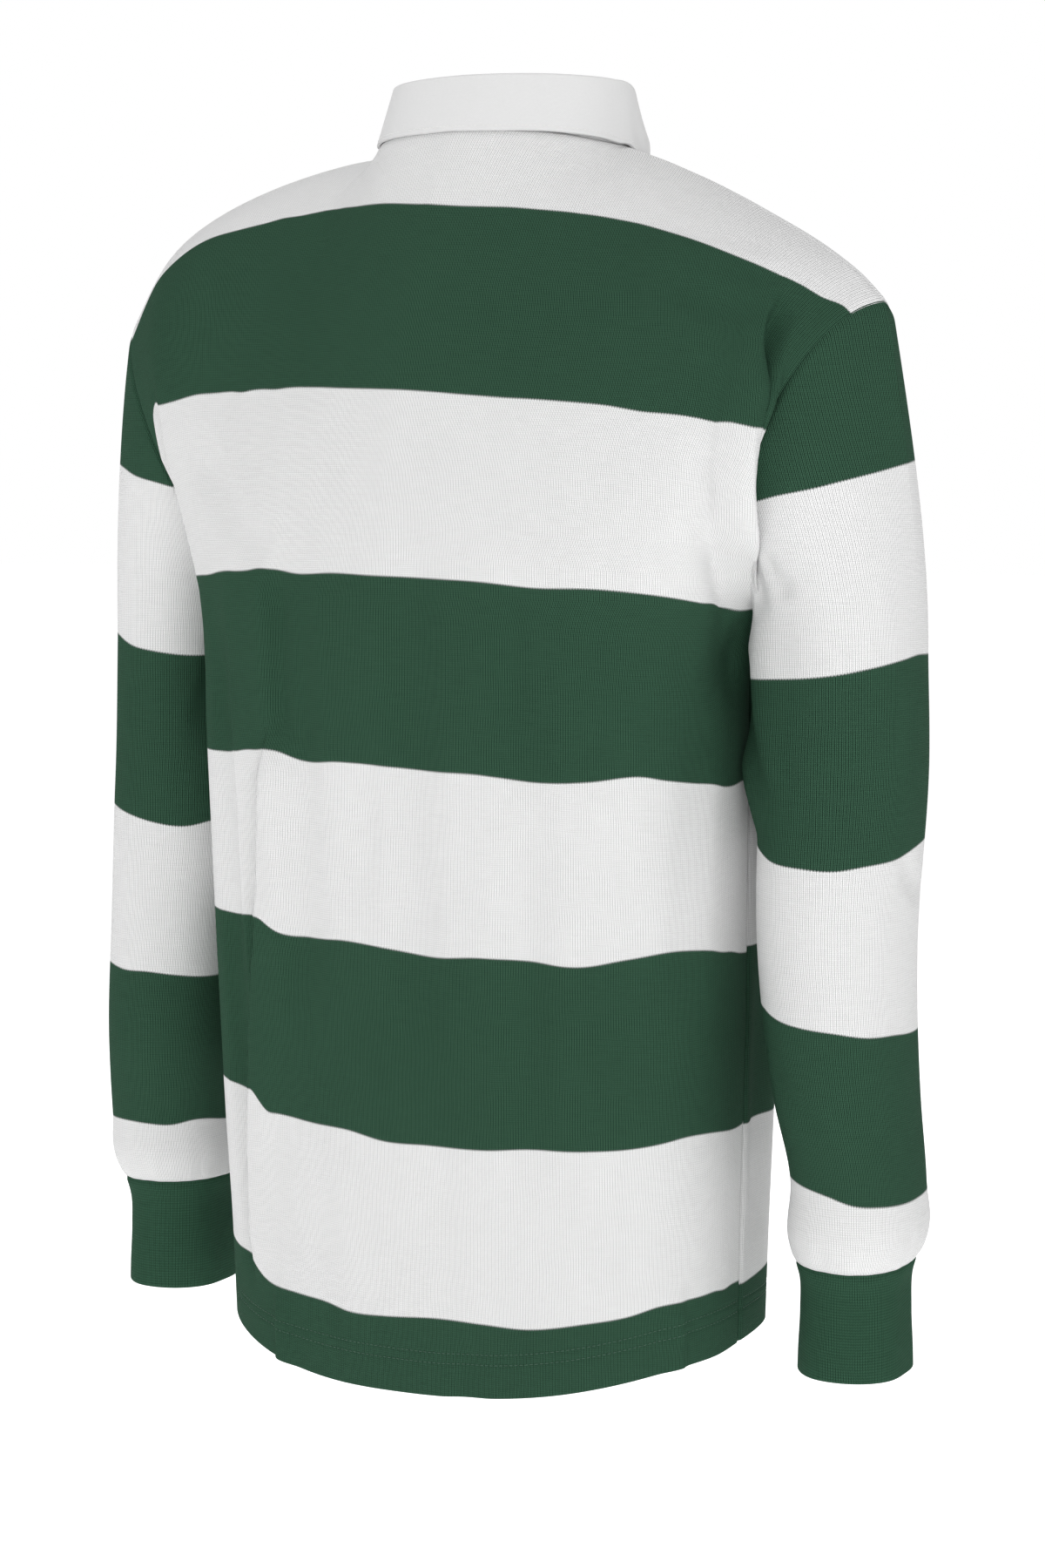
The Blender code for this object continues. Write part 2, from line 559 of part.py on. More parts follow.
def make_shirt():
    bpy.context.scene.collection.children.link(bpy.data.collections.new("rugby_shirt"))
    green = material("green_jersey", (0.031, 0.075, 0.048), 0.85)
    ribbed = material("green_rib", (0.026, 0.064, 0.041), 0.9)
    twill = material("white_twill", (0.78, 0.78, 0.77), 0.75)
    rubber = material("white_rubber", (0.72, 0.72, 0.70), 0.5)

    pieces = {
        "back": (panel_grid(BACK), True, False),
        "front": (panel_grid(FRONT), False, False),
        "sleeve_right": (sleeve_grid(RIGHT), False, True),
        "sleeve_left": (sleeve_grid(LEFT), True, True),
        "cuff_right": (cuff_grid(RIGHT), False, True),
        "cuff_left": (cuff_grid(LEFT), True, True),
    }
    out = seam_normals(pieces)
    panel_edges = ("last_row", "first_column", "last_column")
    sewn = {"back": panel_edges, "front": panel_edges,
            "sleeve_right": ("first_row", "last_row"), "sleeve_left": ("first_row", "last_row"),
            "cuff_right": ("first_row",), "cuff_left": ("first_row",)}
    opened = opened_seams(pieces, sewn)
    for name, (_, _, tube) in pieces.items():
        outer = opened[name]
        thick = RIB if name.startswith("cuff") else JERSEY
        finish = ribbed if name.startswith("cuff") else green
        wall(name, outer, outer - out[name] * thick, finish, tube, slot if name == "front" else None)

    make_collar(twill)
    make_placket(pieces["front"][0], out["front"], twill)
    for name, row in BUTTON_ROWS:
        make_button(name, row, pieces["front"][0], out["front"], rubber)


for old in list(bpy.data.objects):
    bpy.data.objects.remove(old, do_unlink=True)
make_shirt()
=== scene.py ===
"""Rugby shirt, filled out as if worn, with nobody in it: hooped jersey, rib cuffs, twill collar and placket.

Metres, +Z up. The front faces -Y and the wearer's left is +X. Each cloth piece is a thin shell on its solid's
form. Its points are a grid, worked out from the cut's sizes, with the creases pressed into it.
"""

from functools import partial
from math import cos, pi, radians, sin

import bmesh
import bpy
import numpy as np
from mathutils import Matrix, Vector


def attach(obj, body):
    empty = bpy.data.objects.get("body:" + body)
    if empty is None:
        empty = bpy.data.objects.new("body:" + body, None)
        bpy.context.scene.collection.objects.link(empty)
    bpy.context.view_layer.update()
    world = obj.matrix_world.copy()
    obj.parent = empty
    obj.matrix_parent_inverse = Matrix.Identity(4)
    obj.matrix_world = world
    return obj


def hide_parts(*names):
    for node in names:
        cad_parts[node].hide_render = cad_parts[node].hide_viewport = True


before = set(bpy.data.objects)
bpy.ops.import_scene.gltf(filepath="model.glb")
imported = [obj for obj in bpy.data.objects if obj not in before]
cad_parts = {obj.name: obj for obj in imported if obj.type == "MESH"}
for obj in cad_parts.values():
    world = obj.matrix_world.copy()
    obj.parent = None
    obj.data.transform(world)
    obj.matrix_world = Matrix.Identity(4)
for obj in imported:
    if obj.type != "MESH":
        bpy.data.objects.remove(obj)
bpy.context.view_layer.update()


# ---------------------------------------------------------------- camera, floor and light
# A camera level with the chest, behind the shirt and to its right, over a plain pale floor. Large soft lamps
# stand by the camera, above and below it, on both sides and overhead, and a pale room fills the shadows.
CAMERA_AWAY, CAMERA_Z = 2.0, -0.215
CAMERA_TURN = radians(30)            # from straight behind towards the wearer's right
AIM_ASIDE, AIM_DOWN = radians(0.372), radians(4.825)
LENS_MM, SENSOR_MM, FARTHEST = 77.0, 36.0, 200
FLOOR_Z, FLOOR_HALF = -0.96, 30.0
FLOOR_WHITE, FLOOR_ROUGH, FLOOR_GLOW = (0.93, 0.93, 0.93, 1), 0.9, 0.66
ROOM_LIGHT, ROOM_SEEN = 0.38, 1.0

s, c = sin(CAMERA_TURN), cos(CAMERA_TURN)
camera = bpy.data.objects.new("camera", bpy.data.cameras.new("camera"))
bpy.context.scene.collection.objects.link(camera)
camera.location = (-CAMERA_AWAY * s, CAMERA_AWAY * c, CAMERA_Z)
ahead = Vector((s, -c, 0)) * cos(AIM_ASIDE) + Vector((-c, -s, 0)) * sin(AIM_ASIDE)
aim = ahead * cos(AIM_DOWN) - Vector((0, 0, 1)) * sin(AIM_DOWN)
camera.rotation_mode = "QUATERNION"
camera.rotation_quaternion = aim.to_track_quat("-Z", "Y")
camera.data.lens = LENS_MM
camera.data.sensor_width = SENSOR_MM
camera.data.clip_end = FARTHEST
bpy.context.scene.camera = camera
bpy.context.scene.view_settings.view_transform = "Standard"


def new_finish(name, settings):
    """A new material and its Principled shader, with that shader's own settings."""
    finish = bpy.data.materials.new(name)
    finish.use_nodes = True
    shader = finish.node_tree.nodes["Principled BSDF"]
    for socket, value in settings.items():
        shader.inputs[socket].default_value = value
    return finish, shader


def made(name, bm, finish):
    """A smooth object made of a bmesh, with its finish."""
    mesh = bpy.data.meshes.new(name)
    bm.to_mesh(mesh)
    bm.free()
    mesh.shade_smooth()
    mesh.materials.append(finish)
    piece = bpy.data.objects.new(name, mesh)
    bpy.context.scene.collection.objects.link(piece)
    return piece


paint, _ = new_finish("floor_paint", {"Base Color": FLOOR_WHITE, "Roughness": FLOOR_ROUGH,
                                      "Emission Color": (1, 1, 1, 1), "Emission Strength": FLOOR_GLOW})
bm = bmesh.new()
bmesh.ops.create_grid(bm, x_segments=1, y_segments=1, size=FLOOR_HALF)
bmesh.ops.translate(bm, vec=(0, 0, FLOOR_Z), verts=bm.verts)
made("floor", bm, paint)

room = bpy.data.worlds.new("room")
bpy.context.scene.world = room
room.use_nodes = True
nodes, links = room.node_tree.nodes, room.node_tree.links
lit, seen = nodes["Background"], nodes.new("ShaderNodeBackground")
lit.inputs["Color"].default_value = seen.inputs["Color"].default_value = (1, 1, 1, 1)
lit.inputs["Strength"].default_value, seen.inputs["Strength"].default_value = ROOM_LIGHT, ROOM_SEEN
pick, path = nodes.new("ShaderNodeMixShader"), nodes.new("ShaderNodeLightPath")
links.new(path.outputs["Is Camera Ray"], pick.inputs[0])
links.new(lit.outputs[0], pick.inputs[1])
links.new(seen.outputs[0], pick.inputs[2])
links.new(pick.outputs[0], nodes["World Output"].inputs["Surface"])

# name, how far to the camera's right of it (degrees), distance, height, size, watts
LAMPS = (
    ("key_lamp", -5, 2.8, 1.6, 1.5, 11.5),
    ("low_lamp", 10, 2.8, -0.35, 1.2, 16),
    ("right_lamp", 50, 2.8, 0.4, 1.5, 9.5),
    ("left_lamp", -95, 2.8, 0.5, 1.5, 18),
    ("top_lamp", 0, 0.4, 2.6, 1.8, 28),
    ("front_lamp", 180, 2.8, 0.6, 1.8, 17),
)
LAMPS_AIM = Vector((0, 0, -0.35))
for name, degrees, away, height, size, watts in LAMPS:
    turn = CAMERA_TURN + radians(degrees)
    lamp = bpy.data.objects.new(name, bpy.data.lights.new(name, "AREA"))
    bpy.context.scene.collection.objects.link(lamp)
    lamp.location = (-away * sin(turn), away * cos(turn), height)
    lamp.rotation_mode = "QUATERNION"
    lamp.rotation_quaternion = (LAMPS_AIM - lamp.location).to_track_quat("-Z", "Y")
    lamp.data.size = size
    lamp.data.energy = watts


# ---------------------------------------------------------------- back
# One panel of heavy cotton jersey, knitted in broad hoops, from the hem to the shoulder seams. Its hem is
# turned up inside and held by two rows of stitches; its sides, armholes and shoulders are turned seams.
BACK, FRONT = 1, -1
RIGHT, LEFT = -1, 1
UNDERARM_Z, SIDE_Y = -0.270, 0.006   # height of the underarm, and how far back the side seams lie
NECK_U = 0.36                        # where the neck edge ends, as a share of the panel's half width
INSIDE_BODY = np.array([0, 0, -0.4])
# Body rings from the hem to the underarm: height, half width, depth behind, depth in front, squareness,
# how far the sides rise above the middle, and how far the left side drops under the right.
RINGS = (
    (-0.7255, 0.1635, 0.119, 0.117, 2.45, 0.024, 0.007),
    (-0.66, 0.1645, 0.121, 0.119, 2.5, 0.017, 0.0045),
    (-0.57, 0.1665, 0.124, 0.121, 2.6, 0.011, 0.002),
    (-0.47, 0.168, 0.127, 0.122, 2.75, 0.008, 0),
    (-0.37, 0.169, 0.13, 0.121, 2.9, 0.004, -0.001),
    (-0.29, 0.1705, 0.133, 0.117, 3, 0, -0.004),
    (-0.27, 0.1738, 0.133, 0.116, 3, -0.002, -0.005),
)
HEM_Z = RINGS[0][0]
RING_POINTS = 361                    # points worked out round half a ring before they are spaced
NECK_HALF, NECK_BEHIND, NECK_AHEAD, NECK_Y = 0.0780, 0.0660, 0.0680, -0.0140
NECK_Z_BACK, NECK_Z_SIDE, NECK_Z_FRONT, NECK_SQUARE = 0.0030, -0.0080, -0.0750, 2.3
# Shoulder seam from the neck edge to the armhole: x, y, z, and how much the left side sits over the right.
SHOULDER = (
    (0.078, -0.014, -0.008, 0.001),
    (0.11, -0.009, -0.016, 0.0045),
    (0.145, -0.004, -0.029, 0.0075),
    (0.18, 0, -0.0465, 0.009),
    (0.207, 0.003, -0.0635, 0.008),
    (0.233, 0.006, -0.082, 0.0055),
    (0.2505, 0.008, -0.103, 0.0015),
)
# The same row with the corner at the neck eased: share of the half width, x, y behind and ahead, z likewise.
EASED_ROW = (
    (0, 0, 0.052, -0.082, 0.003, -0.075),
    (0.18, 0.042, 0.04, -0.062, 0.001, -0.05),
    (0.36, 0.086, 0.01, -0.025, -0.007, -0.022),
    (0.5, 0.118, -0.004, -0.01, -0.0165, -0.02),
    (0.68, 0.166, -0.002, -0.003, -0.0385, -0.039),
    (0.84, 0.213, 0.003, 0.003, -0.0665, -0.066),
    (1, 0.2505, 0.008, 0.008, -0.103, -0.103),
)
# Columns of cloth over the underarm row: share of the half width, then the pull (x, y, z) as each leaves
# that row, and the pull as it reaches the top row.
COLUMNS_BACK = (
    (0, 0, 0, 0.26, 0, -0.16, 0.2),
    (0.2, 0, 0, 0.26, 0, -0.18, 0.18),
    (0.4, 0, 0.01, 0.26, 0, -0.25, 0.1),
    (0.6, 0.01, 0.05, 0.26, 0, -0.3, 0.03),
    (0.8, 0.01, 0.19, 0.24, 0.01, -0.3, 0),
    (0.9, 0.01, 0.25, 0.19, 0.04, -0.27, 0.01),
    (1, 0, 0.29, 0.13, 0.05, -0.23, 0.02),
)
CORNER_POWER, RISE_POWER = 8, 2.4
LEAN_OVER = 0.4                      # share of the half width over which the shoulders' lean comes in
# Folds of the solid: place across (share of the half width), half width of the fold as such a share, height,
# lean over the sleeve, and its low and high end.
FOLDS_BACK = (
    (-0.925, 0.075, 0.002, 0.0175, -0.3, -0.08),
    (0.925, 0.07, 0.001, -0.002, -0.232, -0.09),
    (0.53, 0.06, -0.006, 0, -0.7, -0.24),
    (0.63, 0.07, 0.002, 0, -0.7, -0.24),
    (0.25, 0.08, -0.004, 0, -0.56, -0.2),
    (-0.07, 0.09, -0.004, 0, -0.56, -0.2),
    (-0.36, 0.09, -0.004, 0, -0.64, -0.24),
)
SEAM_FADE, END_FADE = 0.03, 0.25
FOLD_LIFT, FOLD_SHARP = 0.3, 1.5     # share of a fold's push kept in height, and how its flanks round off

PANEL_HALF = 0.26                    # metres of cloth from the middle of a panel to its side
JERSEY = 0.0011                      # the cloth's thickness
SEAM_CURL, SEAM_CURL_WIDE = 0.0013, 0.0040      # how far the cloth dips into a seam, and over what width
HEM_DEEP, HEM_LAYER = 0.027, 0.0026  # the hem's turned-up depth, and from its outer face to its inner one
NEEDLES = (0.0245, 0.0185)           # heights of the hem's two rows of stitches above its edge
NEEDLE_DIP, NEEDLE_HALF = 0.0004, 0.0016
HEM_BEND = np.linspace(0, pi, 7)[1:]
CLOSE_TALL, CLOSE_STEP = 0.031, 0.0012          # the close rows of points over the hem's edge, and their step
TURN_STEP = 0.0036                   # step between the rows of the cloth turned up inside
TOP_FROM, TOP_ROWS = 0.985, (0.988, 0.991, 0.994, 0.997, 1.0)    # close rows at a panel's top edge
BACK_ROWS = (0.0042, 0.0125)         # step between the rows below the underarm, and over it as a share
CREASE_FADE = 0.3                    # share of a crease's length over which each of its ends dies out
CREASE_KEEP = 0.02                   # creases die out this near a seam
HOOP_WIDE = 0.105                    # mean width of a hoop

# Creases: across and along at one end, the same at the other, bow to the side, width of the near and the far
# flank, height (hollows negative), and lean to the left. Metres of cloth, along from the underarm row.
CREASES_BACK = (
    (-0.223, 0.215, -0.244, 0.03, 0, 0.004, 0.03, 0.0055, -0.0012),
    (-0.229, 0.215, -0.25, 0.06, 0, 0.014, 0.004, -0.01, 0),
    (-0.24, 0.06, -0.236, -0.07, 0, 0.03, 0.04, -0.0065, 0),
    (-0.15, 0.196, -0.235, 0.19, 0.014, 0.013, 0.016, -0.0032, 0),
    (-0.13, 0.215, -0.23, 0.222, 0.01, 0.014, 0.012, 0.0014, 0),
    (0.16, 0.098, 0.072, 0.01, 0.005, 0.018, 0.02, -0.0042, 0),
    (0.077, 0.03, 0.081, -0.105, 0, 0.012, 0.014, -0.0048, 0),
    (0.085, -0.06, 0.1, -0.225, 0, 0.034, 0.004, 0.0052, 0.0045),
    (0.09, -0.06, 0.105, -0.225, 0, 0.004, 0.026, -0.004, 0),
    (0.098, -0.17, 0.119, -0.325, 0, 0.03, 0.004, 0.0048, 0.0042),
    (0.103, -0.17, 0.124, -0.325, 0, 0.004, 0.024, -0.0038, 0),
    (0.116, -0.28, 0.129, -0.42, 0, 0.028, 0.004, 0.004, 0.0036),
    (0.121, -0.28, 0.134, -0.42, 0, 0.004, 0.022, -0.003, 0),
    (0.102, -0.4, 0.104, -0.52, 0, 0.02, 0.006, 0.003, 0),
    (-0.195, -0.4, -0.2, -0.52, 0, 0.006, 0.018, 0.0026, 0),
    (-0.05, -0.41, -0.048, -0.52, 0, 0.02, 0.016, -0.002, 0),
    (0.22, 0.15, 0.218, 0.01, 0.004, 0.014, 0.016, -0.003, 0),
    (0.012, -0.07, 0.015, -0.2, 0.002, 0.016, 0.018, -0.0022, 0),
    (-0.083, 0.04, -0.084, -0.13, 0.002, 0.018, 0.02, -0.0026, 0),
    (-0.13, 0.03, -0.132, -0.12, 0, 0.02, 0.022, -0.0024, 0),
    (-0.144, -0.09, -0.148, -0.31, 0.003, 0.018, 0.022, -0.0024, 0),
    (-0.11, -0.14, -0.118, -0.3, 0, 0.018, 0.022, 0.0016, 0),
    (-0.205, -0.06, -0.195, -0.26, 0.006, 0.024, 0.02, -0.002, 0),
    (-0.03, -0.3, -0.042, -0.43, 0.002, 0.02, 0.026, -0.0016, 0),
    (0.06, -0.33, 0.056, -0.45, 0, 0.02, 0.024, -0.0018, 0),
    (0.19, -0.06, 0.196, -0.33, 0.004, 0.022, 0.02, -0.0024, 0),
)
# Edges of the hoops, from the white over the hem up: the place across, then each edge's height along. They
# step where a fold takes up some of the cloth.
HOOPS_BACK = (
    (-1, -0.42, -0.316, -0.212, -0.105, -0.004, 0.134, 0.219),
    (-0.95, -0.42, -0.318, -0.211, -0.107, -0.003, 0.127, 0.215),
    (-0.91, -0.421, -0.318, -0.209, -0.109, -0.004, 0.124, 0.215),
    (-0.87, -0.42, -0.317, -0.208, -0.109, -0.002, 0.121, 0.212),
    (-0.83, -0.42, -0.316, -0.206, -0.107, 0.004, 0.117, 0.21),
    (-0.76, -0.419, -0.315, -0.204, -0.105, 0.006, 0.113, 0.209),
    (-0.68, -0.418, -0.316, -0.203, -0.102, 0.008, 0.11, 0.212),
    (-0.62, -0.419, -0.316, -0.204, -0.099, 0.009, 0.109, 0.216),
    (-0.5, -0.418, -0.314, -0.207, -0.101, 0.01, 0.112, 0.226),
    (-0.36, -0.417, -0.311, -0.203, -0.101, 0.009, 0.114, 0.232),
    (-0.24, -0.413, -0.311, -0.201, -0.097, 0.011, 0.115, 0.231),
    (-0.1, -0.411, -0.31, -0.202, -0.096, 0.012, 0.117, 0.229),
    (0.03, -0.413, -0.31, -0.198, -0.094, 0.013, 0.119, 0.231),
    (0.13, -0.414, -0.306, -0.196, -0.093, 0.014, 0.12, 0.234),
    (0.24, -0.411, -0.305, -0.197, -0.094, 0.013, 0.121, 0.237),
    (0.31, -0.41, -0.304, -0.196, -0.089, 0.015, 0.121, 0.24),
    (0.36, -0.41, -0.304, -0.188, -0.089, 0.015, 0.12, 0.241),
    (0.38, -0.41, -0.304, -0.188, -0.09, 0.014, 0.12, 0.24),
    (0.43, -0.409, -0.292, -0.19, -0.091, 0.013, 0.119, 0.237),
    (0.45, -0.407, -0.294, -0.19, -0.092, 0.013, 0.118, 0.236),
    (0.49, -0.4, -0.301, -0.191, -0.093, 0.012, 0.118, 0.234),
    (0.54, -0.399, -0.298, -0.193, -0.095, 0.01, 0.117, 0.229),
    (0.6, -0.398, -0.295, -0.192, -0.095, 0.009, 0.116, 0.224),
    (0.7, -0.397, -0.296, -0.193, -0.096, 0.008, 0.114, 0.218),
    (0.8, -0.398, -0.298, -0.195, -0.096, 0.007, 0.118, 0.207),
    (0.88, -0.4, -0.301, -0.196, -0.096, 0.007, 0.126, 0.204),
    (1, -0.403, -0.305, -0.199, -0.097, 0.006, 0.103, 0.192),
)


def through(knots, values, at):
    """A smooth curve through a table's rows, read at each value of at."""
    knots = np.asarray(knots, float)
    values = np.asarray(values, float)
    slopes = np.gradient(values, knots, axis=0)
    at = np.clip(np.asarray(at, float), knots[0], knots[-1])
    low = np.clip(np.searchsorted(knots, at, side="right") - 1, 0, len(knots) - 2)
    span = knots[low + 1] - knots[low]
    t = (at - knots[low]) / span
    t, span = (x.reshape(x.shape + (1,) * (values.ndim - 1)) for x in (t, span))
    return hermite(values[low], values[low + 1], slopes[low] * span, slopes[low + 1] * span, t)


def read(table, at):
    """A table's other columns, smooth between its rows, where its first column is at."""
    table = np.array(table)
    return through(table[:, 0], table[:, 1:], at)


def hermite(start, end, leave, arrive, t):
    """The cubic from start to end that leaves and arrives with the given pulls."""
    return (start * (2 * t**3 - 3 * t**2 + 1) + end * (3 * t**2 - 2 * t**3)
            + leave * (t**3 - 2 * t**2 + t) + arrive * (t**3 - t**2))


def soft(t):
    """0 to 1 with eased ends."""
    t = np.clip(t, 0.0, 1.0)
    return t * t * (3 - 2 * t)


def oval(turn, half_x, half_y, square):
    """x and y of a rounded rectangle at an angle from its +y side; square 2 is an ellipse."""
    c, s = np.cos(turn), np.sin(turn)
    reach = (np.abs(s / half_x) ** square + np.abs(c / half_y) ** square) ** (-1 / square)
    return reach * s, reach * c


def half_ring(height, u, side):
    """One panel's share of a body ring, evenly spaced along the cloth from right (-1) to left (1)."""
    half, behind, ahead, square, rise, tilt = read(RINGS, height)
    depth = behind - SIDE_Y if side == BACK else ahead + SIDE_Y
    x, y = oval(np.linspace(-pi / 2, pi / 2, RING_POINTS), half, depth, square)
    length = lengths(np.stack([x, y], -1))
    at = (np.asarray(u) + 1) / 2 * length[-1]
    x, y = np.interp(at, length, x), np.interp(at, length, y)
    across = x / half
    z = height + rise * np.abs(across) ** RISE_POWER - tilt * across * np.abs(across)
    return np.stack([x, SIDE_Y + side * y, z], -1)


def neck_edge(turn):
    """Points of the neck edge at angles from the centre back, positive towards the wearer's left."""
    behind = np.cos(turn) >= 0
    x, y = oval(turn, NECK_HALF, np.where(behind, NECK_BEHIND, NECK_AHEAD), NECK_SQUARE)
    middle = np.where(behind, NECK_Z_BACK, NECK_Z_FRONT)
    z = middle + (NECK_Z_SIDE - middle) * np.sin(turn) ** 2 + SHOULDER[0][3] * np.sin(turn)
    return np.stack([x, NECK_Y + y, z], -1)


def top_row(u, side):
    """A panel's top edge: half the neck edge, and a shoulder seam on each side of it."""
    share = np.clip(np.abs(u) / NECK_U, 0, 1) * pi / 2
    turn = np.sign(u) * (share if side == BACK else pi - share)
    neck = neck_edge(turn if side == BACK else np.where(u == 0, pi, turn))
    seam = np.array(SHOULDER)
    length = lengths(seam[:, :3])
    x, y, z, lean = through(length / length[-1], seam, np.clip((np.abs(u) - NECK_U) / (1 - NECK_U), 0, 1)).T
    shoulder = np.stack([x * np.sign(u), y, z + lean * np.sign(u)], -1)
    return np.where((np.abs(u) < NECK_U)[:, None], neck, shoulder)


def eased_row(u, side):
    """The top row without its corners, which the cloth below it follows."""
    x, y_back, y_front, z_back, z_front = read(EASED_ROW, np.abs(u)).T
    seam = np.array(SHOULDER)
    lean = through(seam[:, 0], seam[:, 3], x) * soft(np.abs(u) / LEAN_OVER) * np.sign(u)
    y, z = (y_back, z_back) if side == BACK else (y_front, z_front)
    return np.stack([x * np.sign(u), y, z + lean], -1)


def over_underarm(u, t, side, columns):
    """Rows of points over the underarm: t is 0 at the underarm row and 1 at the panel's top edge."""
    u = np.asarray(u, float)
    t = np.asarray(t, float)[:, None, None]
    pulls = read(columns, np.abs(u))
    mirror = np.stack([np.sign(u), np.ones_like(u), np.ones_like(u)], -1)
    eased = eased_row(u, side)
    cloth = hermite(half_ring(UNDERARM_Z, u, side), eased, pulls[:, :3] * mirror, pulls[:, 3:] * mirror, t)
    return cloth + (top_row(u, side) - eased) * t**CORNER_POWER


def unit(vector):
    return vector / np.linalg.norm(vector, axis=-1, keepdims=True)


def faced(grid, inside):
    """The cloth's normals at a grid's points, turned away from a place inside the shirt."""
    found = unit(np.cross(np.gradient(grid, axis=1), np.gradient(grid, axis=0)))
    middle = grid.shape[0] // 2, grid.shape[1] // 4
    return found if found[middle] @ (grid[middle] - inside) > 0 else -found


def folded(grid, u, heights, folds, inside):
    """The panel's points with the solid's own folds raised and pressed in, but not at its seams."""
    push = np.zeros_like(grid)
    out = faced(grid, inside) * (1, 1, FOLD_LIFT)
    for place, half, tall, lean, low, high in folds:
        across = np.clip(1 - ((u - place) / half) ** 2, 0, 1) ** FOLD_SHARP
        fade = END_FADE * (high - low)
        along = soft((heights - low) / fade) * soft((high - heights) / fade)
        share = (across[None, :] * along[:, None])[..., None]
        push += share * (out * tall + np.array([np.sign(place) * lean, 0, 0]))
    return grid + push * soft((1 - np.abs(u)) / SEAM_FADE)[None, :, None]


def creased(grid, across, along, creases, inside, keep):
    """The points with each crease of a table pressed in or raised; keep is 0 where the cloth must stay."""
    out = faced(grid, inside)
    aside = unit(np.gradient(grid, axis=1)) * np.sign(np.gradient(across, axis=1).mean())
    push = np.zeros_like(grid)
    for across_a, along_a, across_b, along_b, bow, near, far, tall, lean in creases:
        run = np.array([across_b - across_a, along_b - along_a])
        length = np.hypot(*run)
        share = ((across - across_a) * run[0] + (along - along_a) * run[1]) / length**2
        off = ((along - along_a) * run[0] - (across - across_a) * run[1]) / length
        off -= bow * 4 * share * (1 - share)
        flank = np.clip(1 - (off / np.where(off < 0, near, far)) ** 2, 0, 1) ** 2
        strength = (flank * soft(share / CREASE_FADE) * soft((1 - share) / CREASE_FADE))[..., None]
        push += strength * (out * tall + aside * lean)
    return grid + push * keep[..., None]


def hoop_number(at, level, table):
    """How many hoop edges lie below each point, with its share of the way to the next one."""
    edges = read(table, at)
    edges = np.concatenate([edges[..., :1] - HOOP_WIDE, edges, edges[..., -1:] + HOOP_WIDE], axis=-1)
    return np.clip((level[..., None] - edges[..., :-1]) / np.diff(edges), 0, 1).sum(axis=-1)


def evened(values, grid, u):
    """Values at a grid's points, moved along each row until the points are evenly spaced in the cloth."""
    moved = values.copy()
    for half in (u <= 0, u >= 0):
        want = u[half]
        share = (want - want[0]) / (want[-1] - want[0])
        for row, points in zip(moved, grid):
            length = lengths(points[half])
            found = [np.interp(share * length[-1], length, part) for part in row[half].T]
            row[half] = np.transpose(found)
    return moved


def lengths(points):
    """Length of cloth along a line of points, or up each column of a grid, from the first."""
    steps = np.linalg.norm(np.diff(points, axis=0), axis=-1)
    return np.cumsum(np.concatenate([0 * steps[:1], steps]), axis=0)


def turned(edge, out, down, layer, bend):
    """The cloth's edge row carried round a fold towards its inner side, at each angle of bend."""
    return [edge + (down * sin(angle) - out * (1 - cos(angle))) * layer / 2 for angle in bend]


# How far the hem hangs below its ring: place across, then the drop of the back's hem and of the front's.
HEM_DROPS = (
    (-1, 0.006, 0.006),
    (-0.9, 0.008, 0.004),
    (-0.75, 0.0062, 0.001),
    (-0.5, 0.003, -0.001),
    (-0.2, 0, 0.001),
    (0.2, 0, 0.002),
    (0.45, -0.003, 0),
    (0.6, -0.0055, -0.002),
    (1, -0.006, -0.006),
)
HEM_DROP_TALL = 0.046


